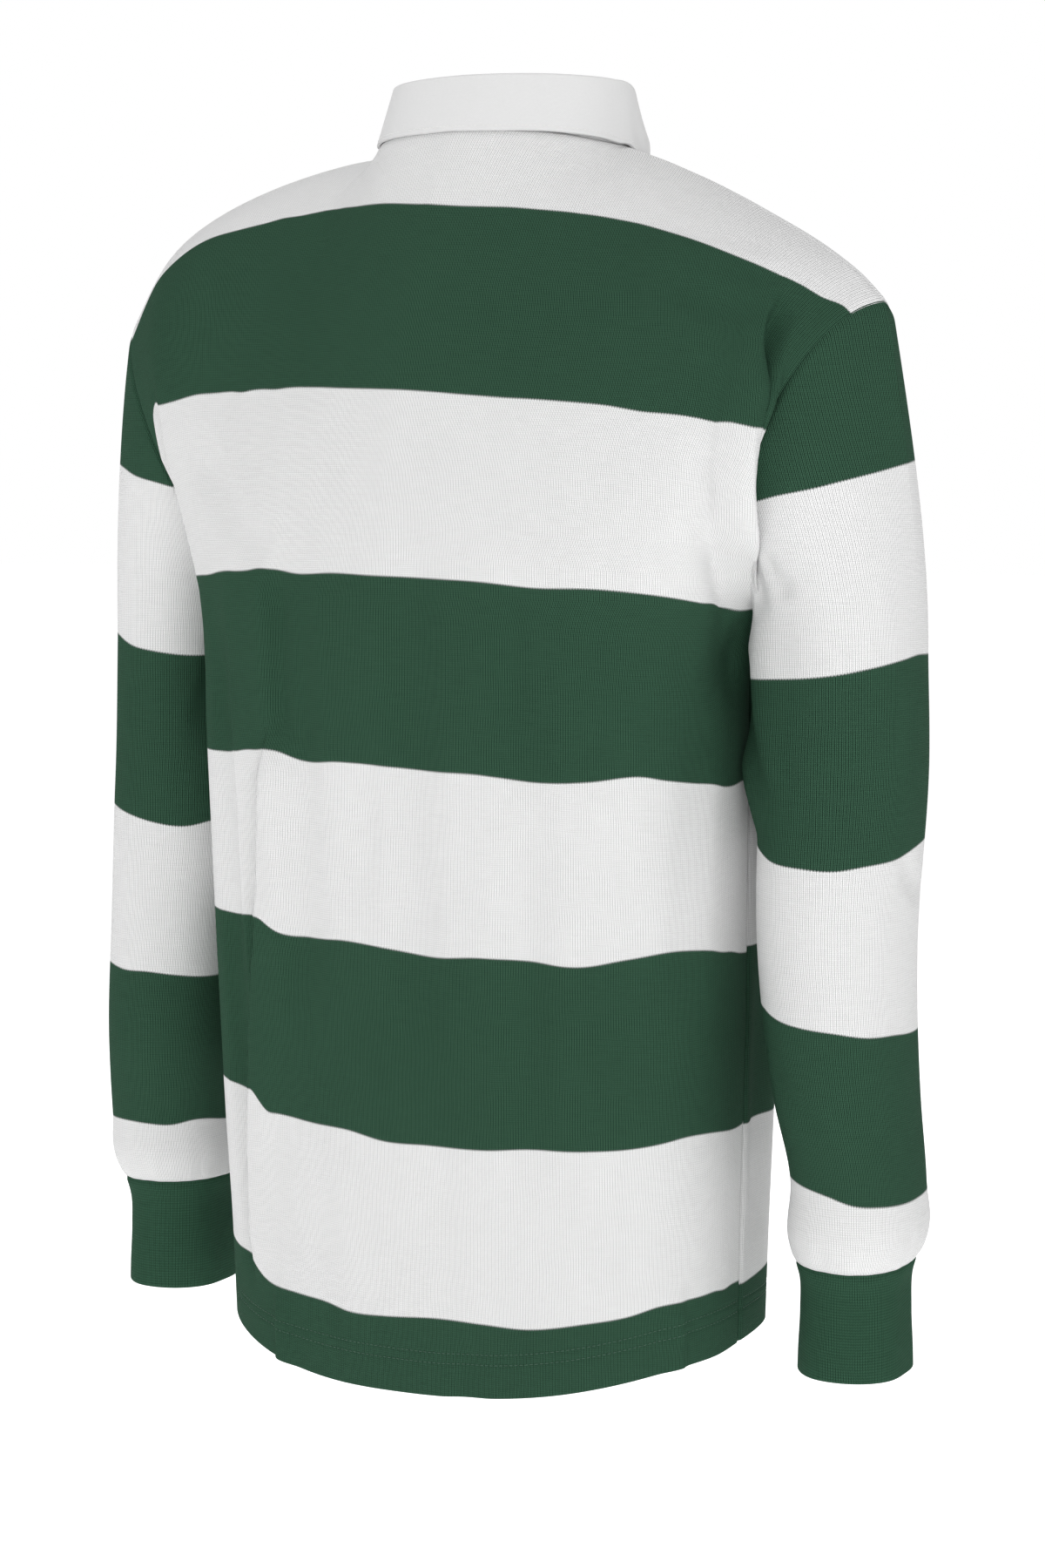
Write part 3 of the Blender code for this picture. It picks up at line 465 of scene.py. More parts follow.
def panel(side, columns, folds, creases, hoops, u, low_step, high_step):
    """A panel's points, the place, level and hoop number of each, then its outer face for on_cloth."""
    low = np.arange(HEM_Z + CLOSE_TALL, UNDERARM_Z - low_step / 2, low_step)
    heights = np.concatenate([HEM_Z + np.arange(0, CLOSE_TALL, CLOSE_STEP), low])
    over_hem = heights - HEM_Z
    t = np.concatenate([np.arange(0, TOP_FROM, high_step), TOP_ROWS])
    grid = np.concatenate([[half_ring(h, u, side) for h in heights], over_underarm(u, t, side, columns)])
    grid = folded(grid, u, np.concatenate([heights, UNDERARM_Z * (1 - t)]), folds, INSIDE_BODY)
    across = np.tile(u * PANEL_HALF, (len(grid), 1))
    level = lengths(grid)
    level -= level[len(heights)]
    level[:len(heights)] = (heights - UNDERARM_Z)[:, None]
    from_side, from_top = PANEL_HALF - np.abs(across), level[-1] - level
    free = soft(from_side / CREASE_KEEP) * soft(from_top / CREASE_KEEP)
    grid = creased(grid, across, level, creases, INSIDE_BODY, free)
    at, level = np.moveaxis(evened(np.stack([across / PANEL_HALF, level], -1), grid, u), -1, 0)
    grid = evened(grid, grid, u)
    out = faced(grid, INSIDE_BODY)
    curl = soft(1 - from_side / SEAM_CURL_WIDE) + soft(1 - from_top / SEAM_CURL_WIDE)
    drop = read(HEM_DROPS, u)[:, 0 if side == BACK else 1]
    grid[:len(heights), :, 2] -= drop * soft(1 - over_hem / HEM_DROP_TALL)[:, None]
    dip = sum(np.clip(1 - ((over_hem - needle) / NEEDLE_HALF) ** 2, 0, 1) ** 2 for needle in NEEDLES)
    press = np.clip(curl, 0, 1) * SEAM_CURL
    press[:len(heights)] += dip[:, None] * NEEDLE_DIP
    grid = grid - out * press[..., None]
    # the hem turns under and runs up inside
    round_edge = turned(grid[0], out[0], unit(grid[0] - grid[1]), HEM_LAYER, HEM_BEND)
    inner = [grid[np.searchsorted(over_hem, rise)] - out[0] * HEM_LAYER
             for rise in np.arange(TURN_STEP, HEM_DEEP, TURN_STEP)]
    under = np.array(round_edge + inner)[::-1]
    full = np.concatenate([under, grid])
    along = lengths(full)
    below = level[0] - (along[len(under)] - along[:len(under)])
    level = np.concatenate([below, level])
    place = np.stack([np.tile(u * PANEL_HALF, (len(full), 1)), along - along[len(under) + len(heights)]], -1)
    face = np.concatenate([grid, faced(grid, INSIDE_BODY), at[..., None]], -1), level[len(under):]
    at = np.concatenate([at[:1]] * len(under) + [at])
    return full, place, level, hoop_number(at, level, hoops), face


def on_cloth(face, across, along):
    """Points on a panel's outer face, and its normals, at places across (-1 to 1) and heights along it."""
    values, level = face
    columns = np.arange(level.shape[1])
    found = []
    for u, height in zip(across, along):
        above = np.clip((level < height).sum(axis=0), 1, len(level) - 1)
        low, high = level[above - 1, columns], level[above, columns]
        share = ((height - low) / (high - low))[:, None]
        row = values[above - 1, columns] * (1 - share) + values[above, columns] * share
        found.append([np.interp(u, row[:, 6], part) for part in row[:, :6].T])
    found = np.array(found)
    return found[:, :3], unit(found[:, 3:])


def cloth_piece(name, points, place, hoops, thick, finish, inside, shown=None):
    """A sheet on a grid of points, with its place in the knit as a UV map and its hoops as an attribute."""
    rows, columns = points.shape[0] - 1, points.shape[1] - 1
    bm = bmesh.new()
    bmesh.ops.create_grid(bm, x_segments=columns, y_segments=rows, size=1.0)
    spots = [(round((v.co.y + 1) / 2 * rows), round((v.co.x + 1) / 2 * columns)) for v in bm.verts]
    knit = bm.loops.layers.uv.new("knit")
    hoop = bm.verts.layers.float.new("hoop")
    bm.verts.index_update()
    for face in bm.faces:
        for loop in face.loops:
            loop[knit].uv = place[spots[loop.vert.index]]
    if shown is not None:
        hidden = [f for f in bm.faces if not any(shown[spots[v.index]] for v in f.verts)]
    for vert, spot in zip(bm.verts, spots):
        vert.co = points[spot]
        vert[hoop] = hoops[spot]
    if shown is not None:
        bmesh.ops.delete(bm, geom=hidden, context="FACES")
    bmesh.ops.remove_doubles(bm, verts=bm.verts, dist=1e-6)
    middle = rows // 2, columns // 4
    up = points[middle[0] + 1, middle[1]] - points[middle]
    if np.cross(points[middle[0], middle[1] + 1] - points[middle], up) @ (points[middle] - inside) < 0:
        bmesh.ops.reverse_faces(bm, faces=bm.faces)
    piece = made(name, bm, finish)
    wall = piece.modifiers.new("thickness", "SOLIDIFY")
    wall.thickness = thick
    wall.offset = -1
    return piece


def worked(operation, *terms):
    """A Math node's output. Each term is a number or another node's output."""
    tree = next(term.id_data for term in terms if not isinstance(term, (int, float)))
    node = tree.nodes.new("ShaderNodeMath")
    node.operation = operation
    for socket, term in zip(node.inputs, terms):
        if isinstance(term, (int, float)):
            socket.default_value = term
        else:
            tree.links.new(term, socket)
    return node.outputs[0]


plus, minus = partial(worked, "ADD"), partial(worked, "SUBTRACT")
times, scaled = partial(worked, "MULTIPLY"), partial(worked, "MULTIPLY_ADD")


def within(value):
    """The value, held between 0 and 1."""
    return worked("MINIMUM", worked("MAXIMUM", value, 0), 1)


def blended(share, first, second):
    """A colour between two others, each a colour or a node's output."""
    node = share.id_data.nodes.new("ShaderNodeMix")
    node.data_type = "RGBA"
    share.id_data.links.new(share, node.inputs[0])
    for socket, colour in zip(node.inputs[6:8], (first, second)):
        if isinstance(colour, tuple):
            socket.default_value = (*colour, 1)
        else:
            share.id_data.links.new(colour, socket)
    return node.outputs[2]


def linear(*levels):
    """Linear red, green and blue of a colour given in the levels of a screen, 0 to 255."""
    return tuple(((level / 255 + 0.055) / 1.055) ** 2.4 for level in levels)


def feed(node, socket, value):
    """Links another node's output to a node's socket."""
    node.id_data.links.new(value, node.inputs[socket])


def relief(shader, height, deep, strength):
    """Bumps on a shader: how deep a height of 1 is, in metres, and how strongly it shows."""
    bump = shader.id_data.nodes.new("ShaderNodeBump")
    bump.inputs["Distance"].default_value = deep
    bump.inputs["Strength"].default_value = strength
    feed(bump, "Height", height)
    feed(shader, "Normal", bump.outputs[0])


def noise_at(place, scale_x, scale_y, detail):
    """Noise, 0 to 1, over a place in the cloth, at its own scale across and along."""
    tree = place.id_data
    stretch = tree.nodes.new("ShaderNodeMapping")
    stretch.inputs["Scale"].default_value = (scale_x, scale_y, 1)
    feed(stretch, "Vector", place)
    noise = tree.nodes.new("ShaderNodeTexNoise")
    noise.inputs["Scale"].default_value = 1
    noise.inputs["Detail"].default_value = detail
    feed(noise, "Vector", stretch.outputs[0])
    return noise.outputs["Fac"]


def across_and_along(place):
    """The two parts of a place in the cloth."""
    parts = place.id_data.nodes.new("ShaderNodeSeparateXYZ")
    feed(parts, 0, place)
    return parts.outputs[0], parts.outputs[1]


def knit_group():
    """Plain knit: columns of interlocked loops, the gaps between the columns and the yarn's unevenness."""
    group = bpy.data.node_groups.new("plain_knit", "ShaderNodeTree")
    group.interface.new_socket("Place", in_out="INPUT", socket_type="NodeSocketVector")
    for name in ("Column", "Row"):
        group.interface.new_socket(name, in_out="INPUT", socket_type="NodeSocketFloat")
    for name in ("Height", "Leg", "Yarn"):
        group.interface.new_socket(name, in_out="OUTPUT", socket_type="NodeSocketFloat")
    given, result = group.nodes.new("NodeGroupInput"), group.nodes.new("NodeGroupOutput")
    place = given.outputs["Place"]
    across, along = across_and_along(place)
    sway = times(minus(noise_at(place, 45, 30, 1), 0.5), COLUMN_SWAY)
    x = worked("DIVIDE", plus(across, sway), given.outputs["Column"])
    y = worked("DIVIDE", along, given.outputs["Row"])
    # leg is 0 in the middle of a column of loops and 0.5 between two columns
    leg = worked("ABSOLUTE", minus(worked("FRACT", x), 0.5))
    arch = minus(times(leg, 4), 1)
    loop = scaled(worked("COSINE", times(plus(y, leg), 2 * pi)), 0.22, 0.78)
    gap = worked("SMOOTH_MIN", worked("MAXIMUM", scaled(leg, 7, -2.5), 0), 1, 0.2)
    height = minus(times(minus(1, times(arch, arch)), loop), times(gap, 0.5))
    slub, fleck = noise_at(place, 70, 900, 2), noise_at(place, 900, 1100, 1)
    cloud = noise_at(place, 14, 10, 2)
    yarn = scaled(cloud, 0.2, plus(times(slub, 0.45), times(fleck, 0.35)))
    for name, value in (("Height", height), ("Leg", leg), ("Yarn", yarn)):
        feed(result, name, value)
    return group


COLUMN_SWAY = 0.0016                 # how far the columns of loops wander to the side
KNIT = knit_group()
JERSEY_COLUMN, JERSEY_ROW, JERSEY_DIP = 0.00158, 0.00113, 0.0007
KNIT_RELIEF = 0.55
TEXTURE_LINE = 0.0006                # half width of the soft line where two colours meet
# the yarns' colours on the loops, and darker colours painted into the grooves between and inside the loops as
# their shade
GREEN, GREEN_GROOVE_SHADE = linear(61, 96, 76), linear(10, 25, 17)
WHITE, WHITE_GROOVE_SHADE = linear(248, 248, 248), linear(180, 180, 180)
HOOP_LINE = linear(70, 84, 76)


def place_in_cloth(finish):
    """The place across and along the cloth, from the piece's own UV map."""
    spot = finish.node_tree.nodes.new("ShaderNodeUVMap")
    spot.uv_map = "knit"
    return spot.outputs[0]


def knit_finish(name, column, row, dip):
    """A new cloth material with its knit group and the relief of its loops in place."""
    cloth, shader = new_finish(name, {"Specular IOR Level": 0.04})
    knit = cloth.node_tree.nodes.new("ShaderNodeGroup")
    knit.node_tree = KNIT
    knit.inputs["Column"].default_value = column
    knit.inputs["Row"].default_value = row
    feed(knit, "Place", place_in_cloth(cloth))
    relief(shader, knit.outputs["Height"], dip, KNIT_RELIEF)
    feed(shader, "Roughness", scaled(knit.outputs["Yarn"], 0.2, 0.78))
    return cloth, shader, knit.outputs


def jersey_finish():
    """Jersey knitted in green and white hoops; the yarn changes between two rows of loops, with painted shade
    in its grooves.
    """
    cloth, shader, knit = knit_finish("hooped_jersey", JERSEY_COLUMN, JERSEY_ROW, JERSEY_DIP)
    hoop = cloth.node_tree.nodes.new("ShaderNodeAttribute")
    hoop.attribute_name = "hoop"
    number = plus(hoop.outputs["Fac"], times(minus(knit["Leg"], 0.25), JERSEY_ROW / HOOP_WIDE))
    white = worked("GREATER_THAN", worked("MODULO", number, 2), 1)
    near = worked("ABSOLUTE", minus(number, worked("ROUND", number)))
    line = worked("LESS_THAN", near, TEXTURE_LINE / HOOP_WIDE)
    shade = within(minus(times(knit["Yarn"], 1.3), 0.15))
    # painted shade: the low parts of the loops' relief take the darker colour, varied by the yarn's
    # unevenness
    lit = within(times(times(knit["Height"], 1.3), scaled(shade, 0.7, 0.6)))
    yarn = blended(white, blended(lit, GREEN_GROOVE_SHADE, GREEN), blended(lit, WHITE_GROOVE_SHADE, WHITE))
    feed(shader, "Base Color", blended(times(line, 0.55), yarn, HOOP_LINE))
    return cloth


HOOPED = jersey_finish()


def spaced(low, high, step):
    """Evenly spaced places from low up to high, which is left out."""
    return np.linspace(low, high, max(2, round((high - low) / step)), endpoint=False)


EDGE_U = np.array((0.0, 0.0035, 0.007, 0.011, 0.016, 0.022))     # close columns at a panel's sides
NEAR_SIDE = 0.970                    # where the plain spacing starts
back_u = np.concatenate([-1 + EDGE_U, spaced(-NEAR_SIDE, -0.80, 0.0055), spaced(-0.80, 0.29, 0.0122),
                         spaced(0.29, 0.53, 0.0075), spaced(0.53, NEAR_SIDE, 0.0122), [NEAR_SIDE],
                         1 - EDGE_U[::-1]])
points, place, level, number, back_face = panel(
    BACK, COLUMNS_BACK, FOLDS_BACK, CREASES_BACK, HOOPS_BACK, back_u, *BACK_ROWS)
back = cloth_piece("back_cloth", points, place, number, JERSEY, HOOPED, INSIDE_BODY)
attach(back, "root")
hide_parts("back")


# ---------------------------------------------------------------- front
# The front is cut from the same hooped jersey, with a slit down from the neck for the placket.
COLUMNS_FRONT = (
    (0, 0, 0, 0.2, 0, 0.06, 0.16),
    (0.2, 0, 0, 0.22, 0, 0.1, 0.16),
    (0.4, 0, 0, 0.26, 0, 0.16, 0.12),
    (0.6, 0, -0.03, 0.25, 0, 0.24, 0.03),
    (0.8, 0.05, -0.16, 0.24, 0, 0.23, 0),
    (0.9, 0.05, -0.23, 0.19, 0.02, 0.22, 0.01),
    (1, 0.04, -0.28, 0.13, 0.03, 0.22, 0.02),
)
FOLDS_FRONT = (
    (-0.89, 0.08, 0.004, 0, -0.2, -0.1),
    (0.89, 0.08, 0.004, 0, -0.2, -0.1),
    (-0.52, 0.08, -0.005, 0, -0.66, -0.26),
    (0.48, 0.08, -0.005, 0, -0.6, -0.24),
    (0.2, 0.09, -0.004, 0, -0.68, -0.33),
)
CREASES_FRONT = (
    (-0.228, 0.14, -0.15, 0.03, -0.008, 0.018, 0.02, -0.0042, 0),
    (-0.235, 0.09, -0.17, -0.02, -0.006, 0.014, 0.018, 0.0026, 0),
    (0.228, 0.15, 0.14, 0.04, 0.008, 0.018, 0.022, -0.004, 0),
    (0.238, 0.08, 0.19, -0.03, 0.006, 0.014, 0.016, 0.0024, 0),
    (-0.14, 0, -0.13, -0.18, 0.004, 0.03, 0.006, 0.003, 0.0028),
    (-0.134, 0, -0.124, -0.18, 0.004, 0.006, 0.026, -0.0028, 0),
    (-0.128, -0.16, -0.118, -0.36, 0.002, 0.026, 0.006, 0.0026, 0.0024),
    (0.126, -0.02, 0.134, -0.23, -0.004, 0.018, 0.022, -0.004, 0),
    (0.15, -0.2, 0.16, -0.39, 0.002, 0.02, 0.02, -0.0028, 0),
    (0.056, -0.1, 0.05, -0.32, 0.003, 0.018, 0.022, -0.0026, 0),
    (-0.05, -0.06, -0.046, -0.27, -0.003, 0.018, 0.02, -0.0024, 0),
    (-0.08, -0.26, -0.076, -0.42, 0.002, 0.022, 0.022, -0.002, 0),
    (-0.21, -0.05, -0.202, -0.3, 0.006, 0.022, 0.02, -0.0026, 0),
    (0.21, -0.05, 0.204, -0.32, -0.006, 0.022, 0.02, -0.0028, 0),
    (0.18, 0.19, 0.09, 0.18, 0.01, 0.014, 0.016, -0.0022, 0),
    (-0.235, -0.2, -0.235, -0.42, 0, 0.03, 0.03, -0.0045, 0),
)
HOOPS_FRONT = (
    (-1, -0.423, -0.3178, -0.2085, -0.104, 0, 0.118, 0.217),
    (-0.6, -0.415, -0.315, -0.206, -0.101, 0.006, 0.115, 0.22),
    (0, -0.4095, -0.312, -0.204, -0.099, 0.009, 0.116, 0.229),
    (0.6, -0.406, -0.309, -0.201, -0.098, 0.008, 0.117, 0.225),
    (1, -0.403, -0.305, -0.199, -0.097, 0.006, 0.12, 0.222),
)
SLOT_U, SLOT_LOW = 0.045, 0.25       # the slit's half width, and its low end as a share of the way up
FRONT_ROWS = (0.0048, 0.0145)        # the steps between its rows, as for the back

front_u = np.concatenate([-1 + EDGE_U, spaced(-NEAR_SIDE, -SLOT_U, 0.0135), spaced(-SLOT_U, SLOT_U, 0.009),
                          spaced(SLOT_U, NEAR_SIDE, 0.0135), [NEAR_SIDE], 1 - EDGE_U[::-1]])
points, place, level, number, front_face = panel(
    FRONT, COLUMNS_FRONT, FOLDS_FRONT, CREASES_FRONT, HOOPS_FRONT, front_u, *FRONT_ROWS)
middle_share = np.linspace(0, 1, 101)
middle_rise = lengths(over_underarm([0.0], middle_share, FRONT, COLUMNS_FRONT))[:, 0]


def up_middle(share):
    """Length of cloth up the front's middle, at a share of the way from the underarm row to the neck."""
    return np.interp(share, middle_share, middle_rise)


in_slit = (np.abs(front_u) < SLOT_U - 1e-6) & (level > up_middle(SLOT_LOW))
front = cloth_piece("front_cloth", points, place, number, JERSEY, HOOPED, INSIDE_BODY, ~in_slit)
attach(front, "root")
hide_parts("front")


# ---------------------------------------------------------------- sleeves
# Each sleeve is one piece of the same hooped jersey, closed along the inside of the arm, set into the
# armhole with a turned seam and gathered a little into its cuff.
# Sleeve rings from the cuff's seam up: height, x and y of the middle, half width, half depth.
SLEEVE_RINGS = (
    (-0.6405, 0.2345, 0.001, 0.034, 0.039),
    (-0.63, 0.2355, 0.001, 0.0375, 0.044),
    (-0.6, 0.237, 0.004, 0.0365, 0.043),
    (-0.55, 0.2315, 0.009, 0.0393, 0.0467),
    (-0.47, 0.2246, 0.008, 0.0425, 0.0505),
    (-0.36, 0.2236, -0.002, 0.0448, 0.0545),
    (-0.3, 0.2236, -0.002, 0.0438, 0.0525),
)
SLEEVE_SQUARE = 2.2
CAP_SPREAD, CAP_UNDER, CAP_INWARD = 0.035, 0.016, 0.04
SLEEVE_GIRTH = 0.285                 # cloth round the sleeve
# The cuff's seam sags on one side of the arm: how far, and towards which turn from the outside of the arm.
SEAM_SAG = {RIGHT: (0.0065, radians(70)), LEFT: (0.0010, radians(60))}
SAG_TALL = 0.045                     # how far up the sleeve and down the cuff the sag reaches
ROUND = 144                          # columns round a sleeve
HEAD_ROWS = (0, 0.006, 0.012, 0.02, 0.03, *np.linspace(0.045, 1, 46)[:-1])
FOREARM_Z, SLEEVE_STEP, FOREARM_STEP = -0.600, -0.0042, -0.0018  # rows are closer below the forearm's height
SLEEVE_FADE, SEAM_FULL = 0.004, 0.4  # how near the cuff's seam the gathers fade, and to what share of it
CUFF_CURL = 0.6                      # the dip at the cuff's seam, as a share of the other seams'
HEAD_PULL, HEAD_EASE = 0.95, 0.01    # how strongly the sleeve's head runs down from the armhole
INSIDE_SLEEVE = np.array([0.224, 0, -0.38])
# Creases round a sleeve: as on the panels, across from the outside of the arm towards the back, along up from
# the cuff's seam.
CREASES_RIGHT = (
    (0.113, 0.385, 0.113, 0.24, 0, 0.034, 0.034, 0.0085, 0),
    (0.115, 0.35, 0.09, 0.255, 0.006, 0.01, 0.016, -0.004, 0),
    (0.124, 0.3, 0.098, 0.235, 0.003, 0.012, 0.01, 0.0024, 0),
    (0.093, 0.402, 0.076, 0.374, 0, 0.008, 0.01, -0.0024, 0),
    (0.105, 0.42, 0.1, 0.36, 0, 0.012, 0.01, -0.003, 0),
    (0.018, 0.23, -0.03, 0.205, 0.004, 0.012, 0.012, -0.002, 0),
    (-0.105, 0.29, -0.05, 0.23, 0.006, 0.014, 0.016, -0.004, 0),
    (-0.115, 0.24, -0.06, 0.2, 0.006, 0.012, 0.014, -0.0032, 0),
    (-0.07, 0.38, -0.1, 0.31, 0.004, 0.014, 0.014, -0.0026, 0),
    (0.1, 0.12, 0.064, 0.075, 0.003, 0.01, 0.012, -0.002, 0),
    (-0.08, 0.1, -0.04, 0.06, 0.003, 0.012, 0.012, -0.0022, 0),
)
CREASES_LEFT = (
    (0.115, 0.36, 0.095, 0.28, 0.004, 0.01, 0.014, -0.003, 0),
    (0.025, 0.4, 0.03, 0.24, 0.002, 0.012, 0.014, -0.002, 0),
    (-0.105, 0.28, -0.05, 0.22, 0.006, 0.014, 0.016, -0.0038, 0),
    (-0.115, 0.23, -0.062, 0.185, 0.006, 0.012, 0.014, -0.003, 0),
    (-0.07, 0.37, -0.098, 0.3, 0.004, 0.014, 0.014, -0.0026, 0),
    (0.03, 0.215, -0.02, 0.2, 0.004, 0.012, 0.012, -0.0018, 0),
    (-0.07, 0.1, -0.03, 0.055, 0.003, 0.012, 0.012, -0.0022, 0),
)
# Edges of a sleeve's hoops: degrees round from the outside by the back, then how far up each edge lies.
HOOPS_RIGHT = (
    (-90, 0.038, 0.13, 0.237, 0.341, 0.45),
    (-20, 0.038, 0.13, 0.237, 0.342, 0.451),
    (0, 0.037, 0.13, 0.234, 0.342, 0.449),
    (20, 0.036, 0.131, 0.23, 0.34, 0.446),
    (50, 0.036, 0.132, 0.227, 0.336, 0.441),
    (70, 0.037, 0.135, 0.225, 0.333, 0.437),
    (90, 0.041, 0.137, 0.226, 0.331, 0.434),
    (110, 0.044, 0.14, 0.228, 0.33, 0.431),
    (130, 0.046, 0.145, 0.234, 0.329, 0.43),
    (180, 0.044, 0.144, 0.24, 0.331, 0.433),
    (270, 0.038, 0.13, 0.237, 0.341, 0.45),
)
HOOPS_LEFT = (
    (-90, 0.038, 0.137, 0.236, 0.344, 0.452),
    (30, 0.039, 0.139, 0.24, 0.348, 0.454),
    (60, 0.04, 0.14, 0.239, 0.345, 0.451),
    (80, 0.04, 0.138, 0.235, 0.339, 0.446),
    (100, 0.039, 0.138, 0.231, 0.336, 0.443),
    (120, 0.038, 0.136, 0.229, 0.334, 0.441),
    (140, 0.04, 0.134, 0.232, 0.334, 0.441),
    (185, 0.037, 0.135, 0.233, 0.336, 0.444),
    (270, 0.038, 0.137, 0.236, 0.344, 0.452),
)
GATHERS = (9, 14, 23)                # waves of the fullness round the cuff's seam
GATHER_DEEP, GATHER_TALL = 0.0007, 0.030


def armhole(sign, t):
    """The armhole's edge from the underarm up the front, over the shoulder tip and down the back."""
    u = np.array([float(sign)])
    front_edge = over_underarm(u, t, FRONT, COLUMNS_FRONT)[:, 0]
    back_edge = over_underarm(u, t[::-1], BACK, COLUMNS_BACK)[:, 0]
    return np.concatenate([front_edge, back_edge[1:]])


def sleeve_ring(table, height, sign, turn):
    """A ring of a sleeve or a cuff; turn is 0 at the outside and grows towards the back."""
    x, y, half_x, half_y = read(table, height)
    out, behind = oval(pi / 2 - turn, half_x, half_y, SLEEVE_SQUARE)
    return np.stack([sign * (x + out), y + behind, np.full_like(turn, height)], -1)


def sagged(sign, turn, away):
    """How far the sleeve or the cuff sags at each turn and at each distance away from the cuff's seam."""
    deep, middle = SEAM_SAG[sign]
    return deep * ((1 + np.cos(turn - middle)) / 2) ** 1.5 * soft(1 - away / SAG_TALL)


def sleeve(sign, creases, hoops):
    """A sleeve's points from the armhole to the cuff's seam, with each one's place in the knit and hoop."""
    turn = np.linspace(-pi, pi, ROUND + 1)
    start = armhole(sign, np.linspace(0, 1, ROUND // 2 + 1))
    last, first = SLEEVE_RINGS[0][0], SLEEVE_RINGS[-1][0]
    ring = sleeve_ring(SLEEVE_RINGS, first, sign, turn)
    outside = (1 + np.cos(turn)) / 2
    drop = start[:, 2] - first
    inward = -CAP_INWARD * start[:, 1] / np.abs(start[:, 1]).max() * (1 - outside)
    spread = CAP_SPREAD * outside + CAP_UNDER * (1 - outside) ** 2
    leave = np.stack([sign * spread, inward, -HEAD_PULL * drop - HEAD_EASE], -1)
    arrive = (drop + HEAD_EASE)[:, None] * (0, 0, -1)
    head = hermite(start, ring, leave, arrive, np.array(HEAD_ROWS)[:, None, None])
    heights = np.concatenate([spaced(first, FOREARM_Z, SLEEVE_STEP),
                              spaced(FOREARM_Z, last, FOREARM_STEP), [last]])
    grid = np.concatenate([head, [sleeve_ring(SLEEVE_RINGS, h, sign, turn) for h in heights]])
    inside = INSIDE_SLEEVE * (sign, 1, 1)
    along = lengths(grid)
    along = along[-1] - along
    across = np.tile(turn / (2 * pi) * SLEEVE_GIRTH, (len(grid), 1))
    from_top = along[0] - along
    free = soft(from_top / CREASE_KEEP) * soft(along / CREASE_KEEP)
    grid = creased(grid, across, along, creases, inside, free)
    out = faced(grid, inside)
    wave = sum(np.sin(count * turn + count) for count in GATHERS) / len(GATHERS)
    full = soft(1 - along / GATHER_TALL) * soft(along / SLEEVE_FADE + SEAM_FULL)
    curl = soft(1 - from_top / SEAM_CURL_WIDE) + CUFF_CURL * soft(1 - along / SEAM_CURL_WIDE)
    grid = grid + out * (full * wave * GATHER_DEEP - curl * SEAM_CURL)[..., None]
    grid[..., 2] -= sagged(sign, turn, along)
    grid[:, -1] = grid[:, 0] = (grid[:, 0] + grid[:, -1]) / 2
    degrees = turn * 180 / pi
    at = np.where(degrees < -90, degrees + 360, degrees)
    return grid, np.stack([across, along], -1), hoop_number(np.tile(at, (len(grid), 1)), along, hoops) + 1


def hollow_centre(points):
    return points.mean(axis=(0, 1))


for name, sign, creases, hoops in (
    ("right", RIGHT, CREASES_RIGHT, HOOPS_RIGHT),
    ("left", LEFT, CREASES_LEFT, HOOPS_LEFT),
):
    points, place, number = sleeve(sign, creases, hoops)
    piece = cloth_piece(f"sleeve_{name}_cloth", points, place, number, JERSEY, HOOPED, hollow_centre(points))
    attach(piece, "root")
    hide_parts(f"sleeve_{name}")


# ---------------------------------------------------------------- cuffs
# Each cuff is a band of rib, folded double at the wrist, its two raw edges sewn to the sleeve. Its rings are
# given as the sleeve's are, from the wrist up.
CUFF_RINGS = (
    (-0.7095, 0.2345, 0.001, 0.0312, 0.0366),
    (-0.698, 0.2345, 0.001, 0.0309, 0.0363),
    (-0.674, 0.2345, 0.001, 0.0299, 0.0353),
    (-0.65, 0.2345, 0.001, 0.0308, 0.0362),
    (-0.6405, 0.2345, 0.001, 0.0334, 0.0384),
)
CUFF_TOP = CUFF_RINGS[-1][0]
CUFF_GIRTH, CUFF_LAYER, RIB = 0.225, 0.0030, 0.0009
CUFF_COLUMN, CUFF_ROW, CUFF_DIP = 0.0015, 0.0016, 0.0008
CUFF_BEND = np.linspace(0, pi, 9)[1:-1]
CUFF_NEAR, CUFF_FROM, CUFF_STEP = (0, 0.0006, 0.0013, 0.0022), 0.0035, -0.003   # rows below the cuff's seam
CUFF_WAVES = ((3, 0.0007), (5, 0.0004))     # slow waves round the rib: how many, and how deep
WAVES_FADE = 0.02                    # they die out this near the seam
# the rib's green, and the darker green painted into its pits as their shade
CUFF_GREEN, CUFF_PIT_SHADE = linear(60, 97, 76), linear(12, 28, 20)


def cuff_finish():
    """Close rib in dark green, with a small open texture like a honeycomb whose pits are painted darker as
    shade.
    """
    cloth, shader, knit = knit_finish("green_rib", CUFF_COLUMN, CUFF_ROW, CUFF_DIP)
    # painted shade: where the rib's relief is low, in its pits, it takes the darker green, varied by the yarn
    lit = within(times(scaled(knit["Height"], 1.1, 0.05), scaled(knit["Yarn"], 1.1, 0.45)))
    feed(shader, "Base Color", blended(lit, CUFF_PIT_SHADE, CUFF_GREEN))
    return cloth


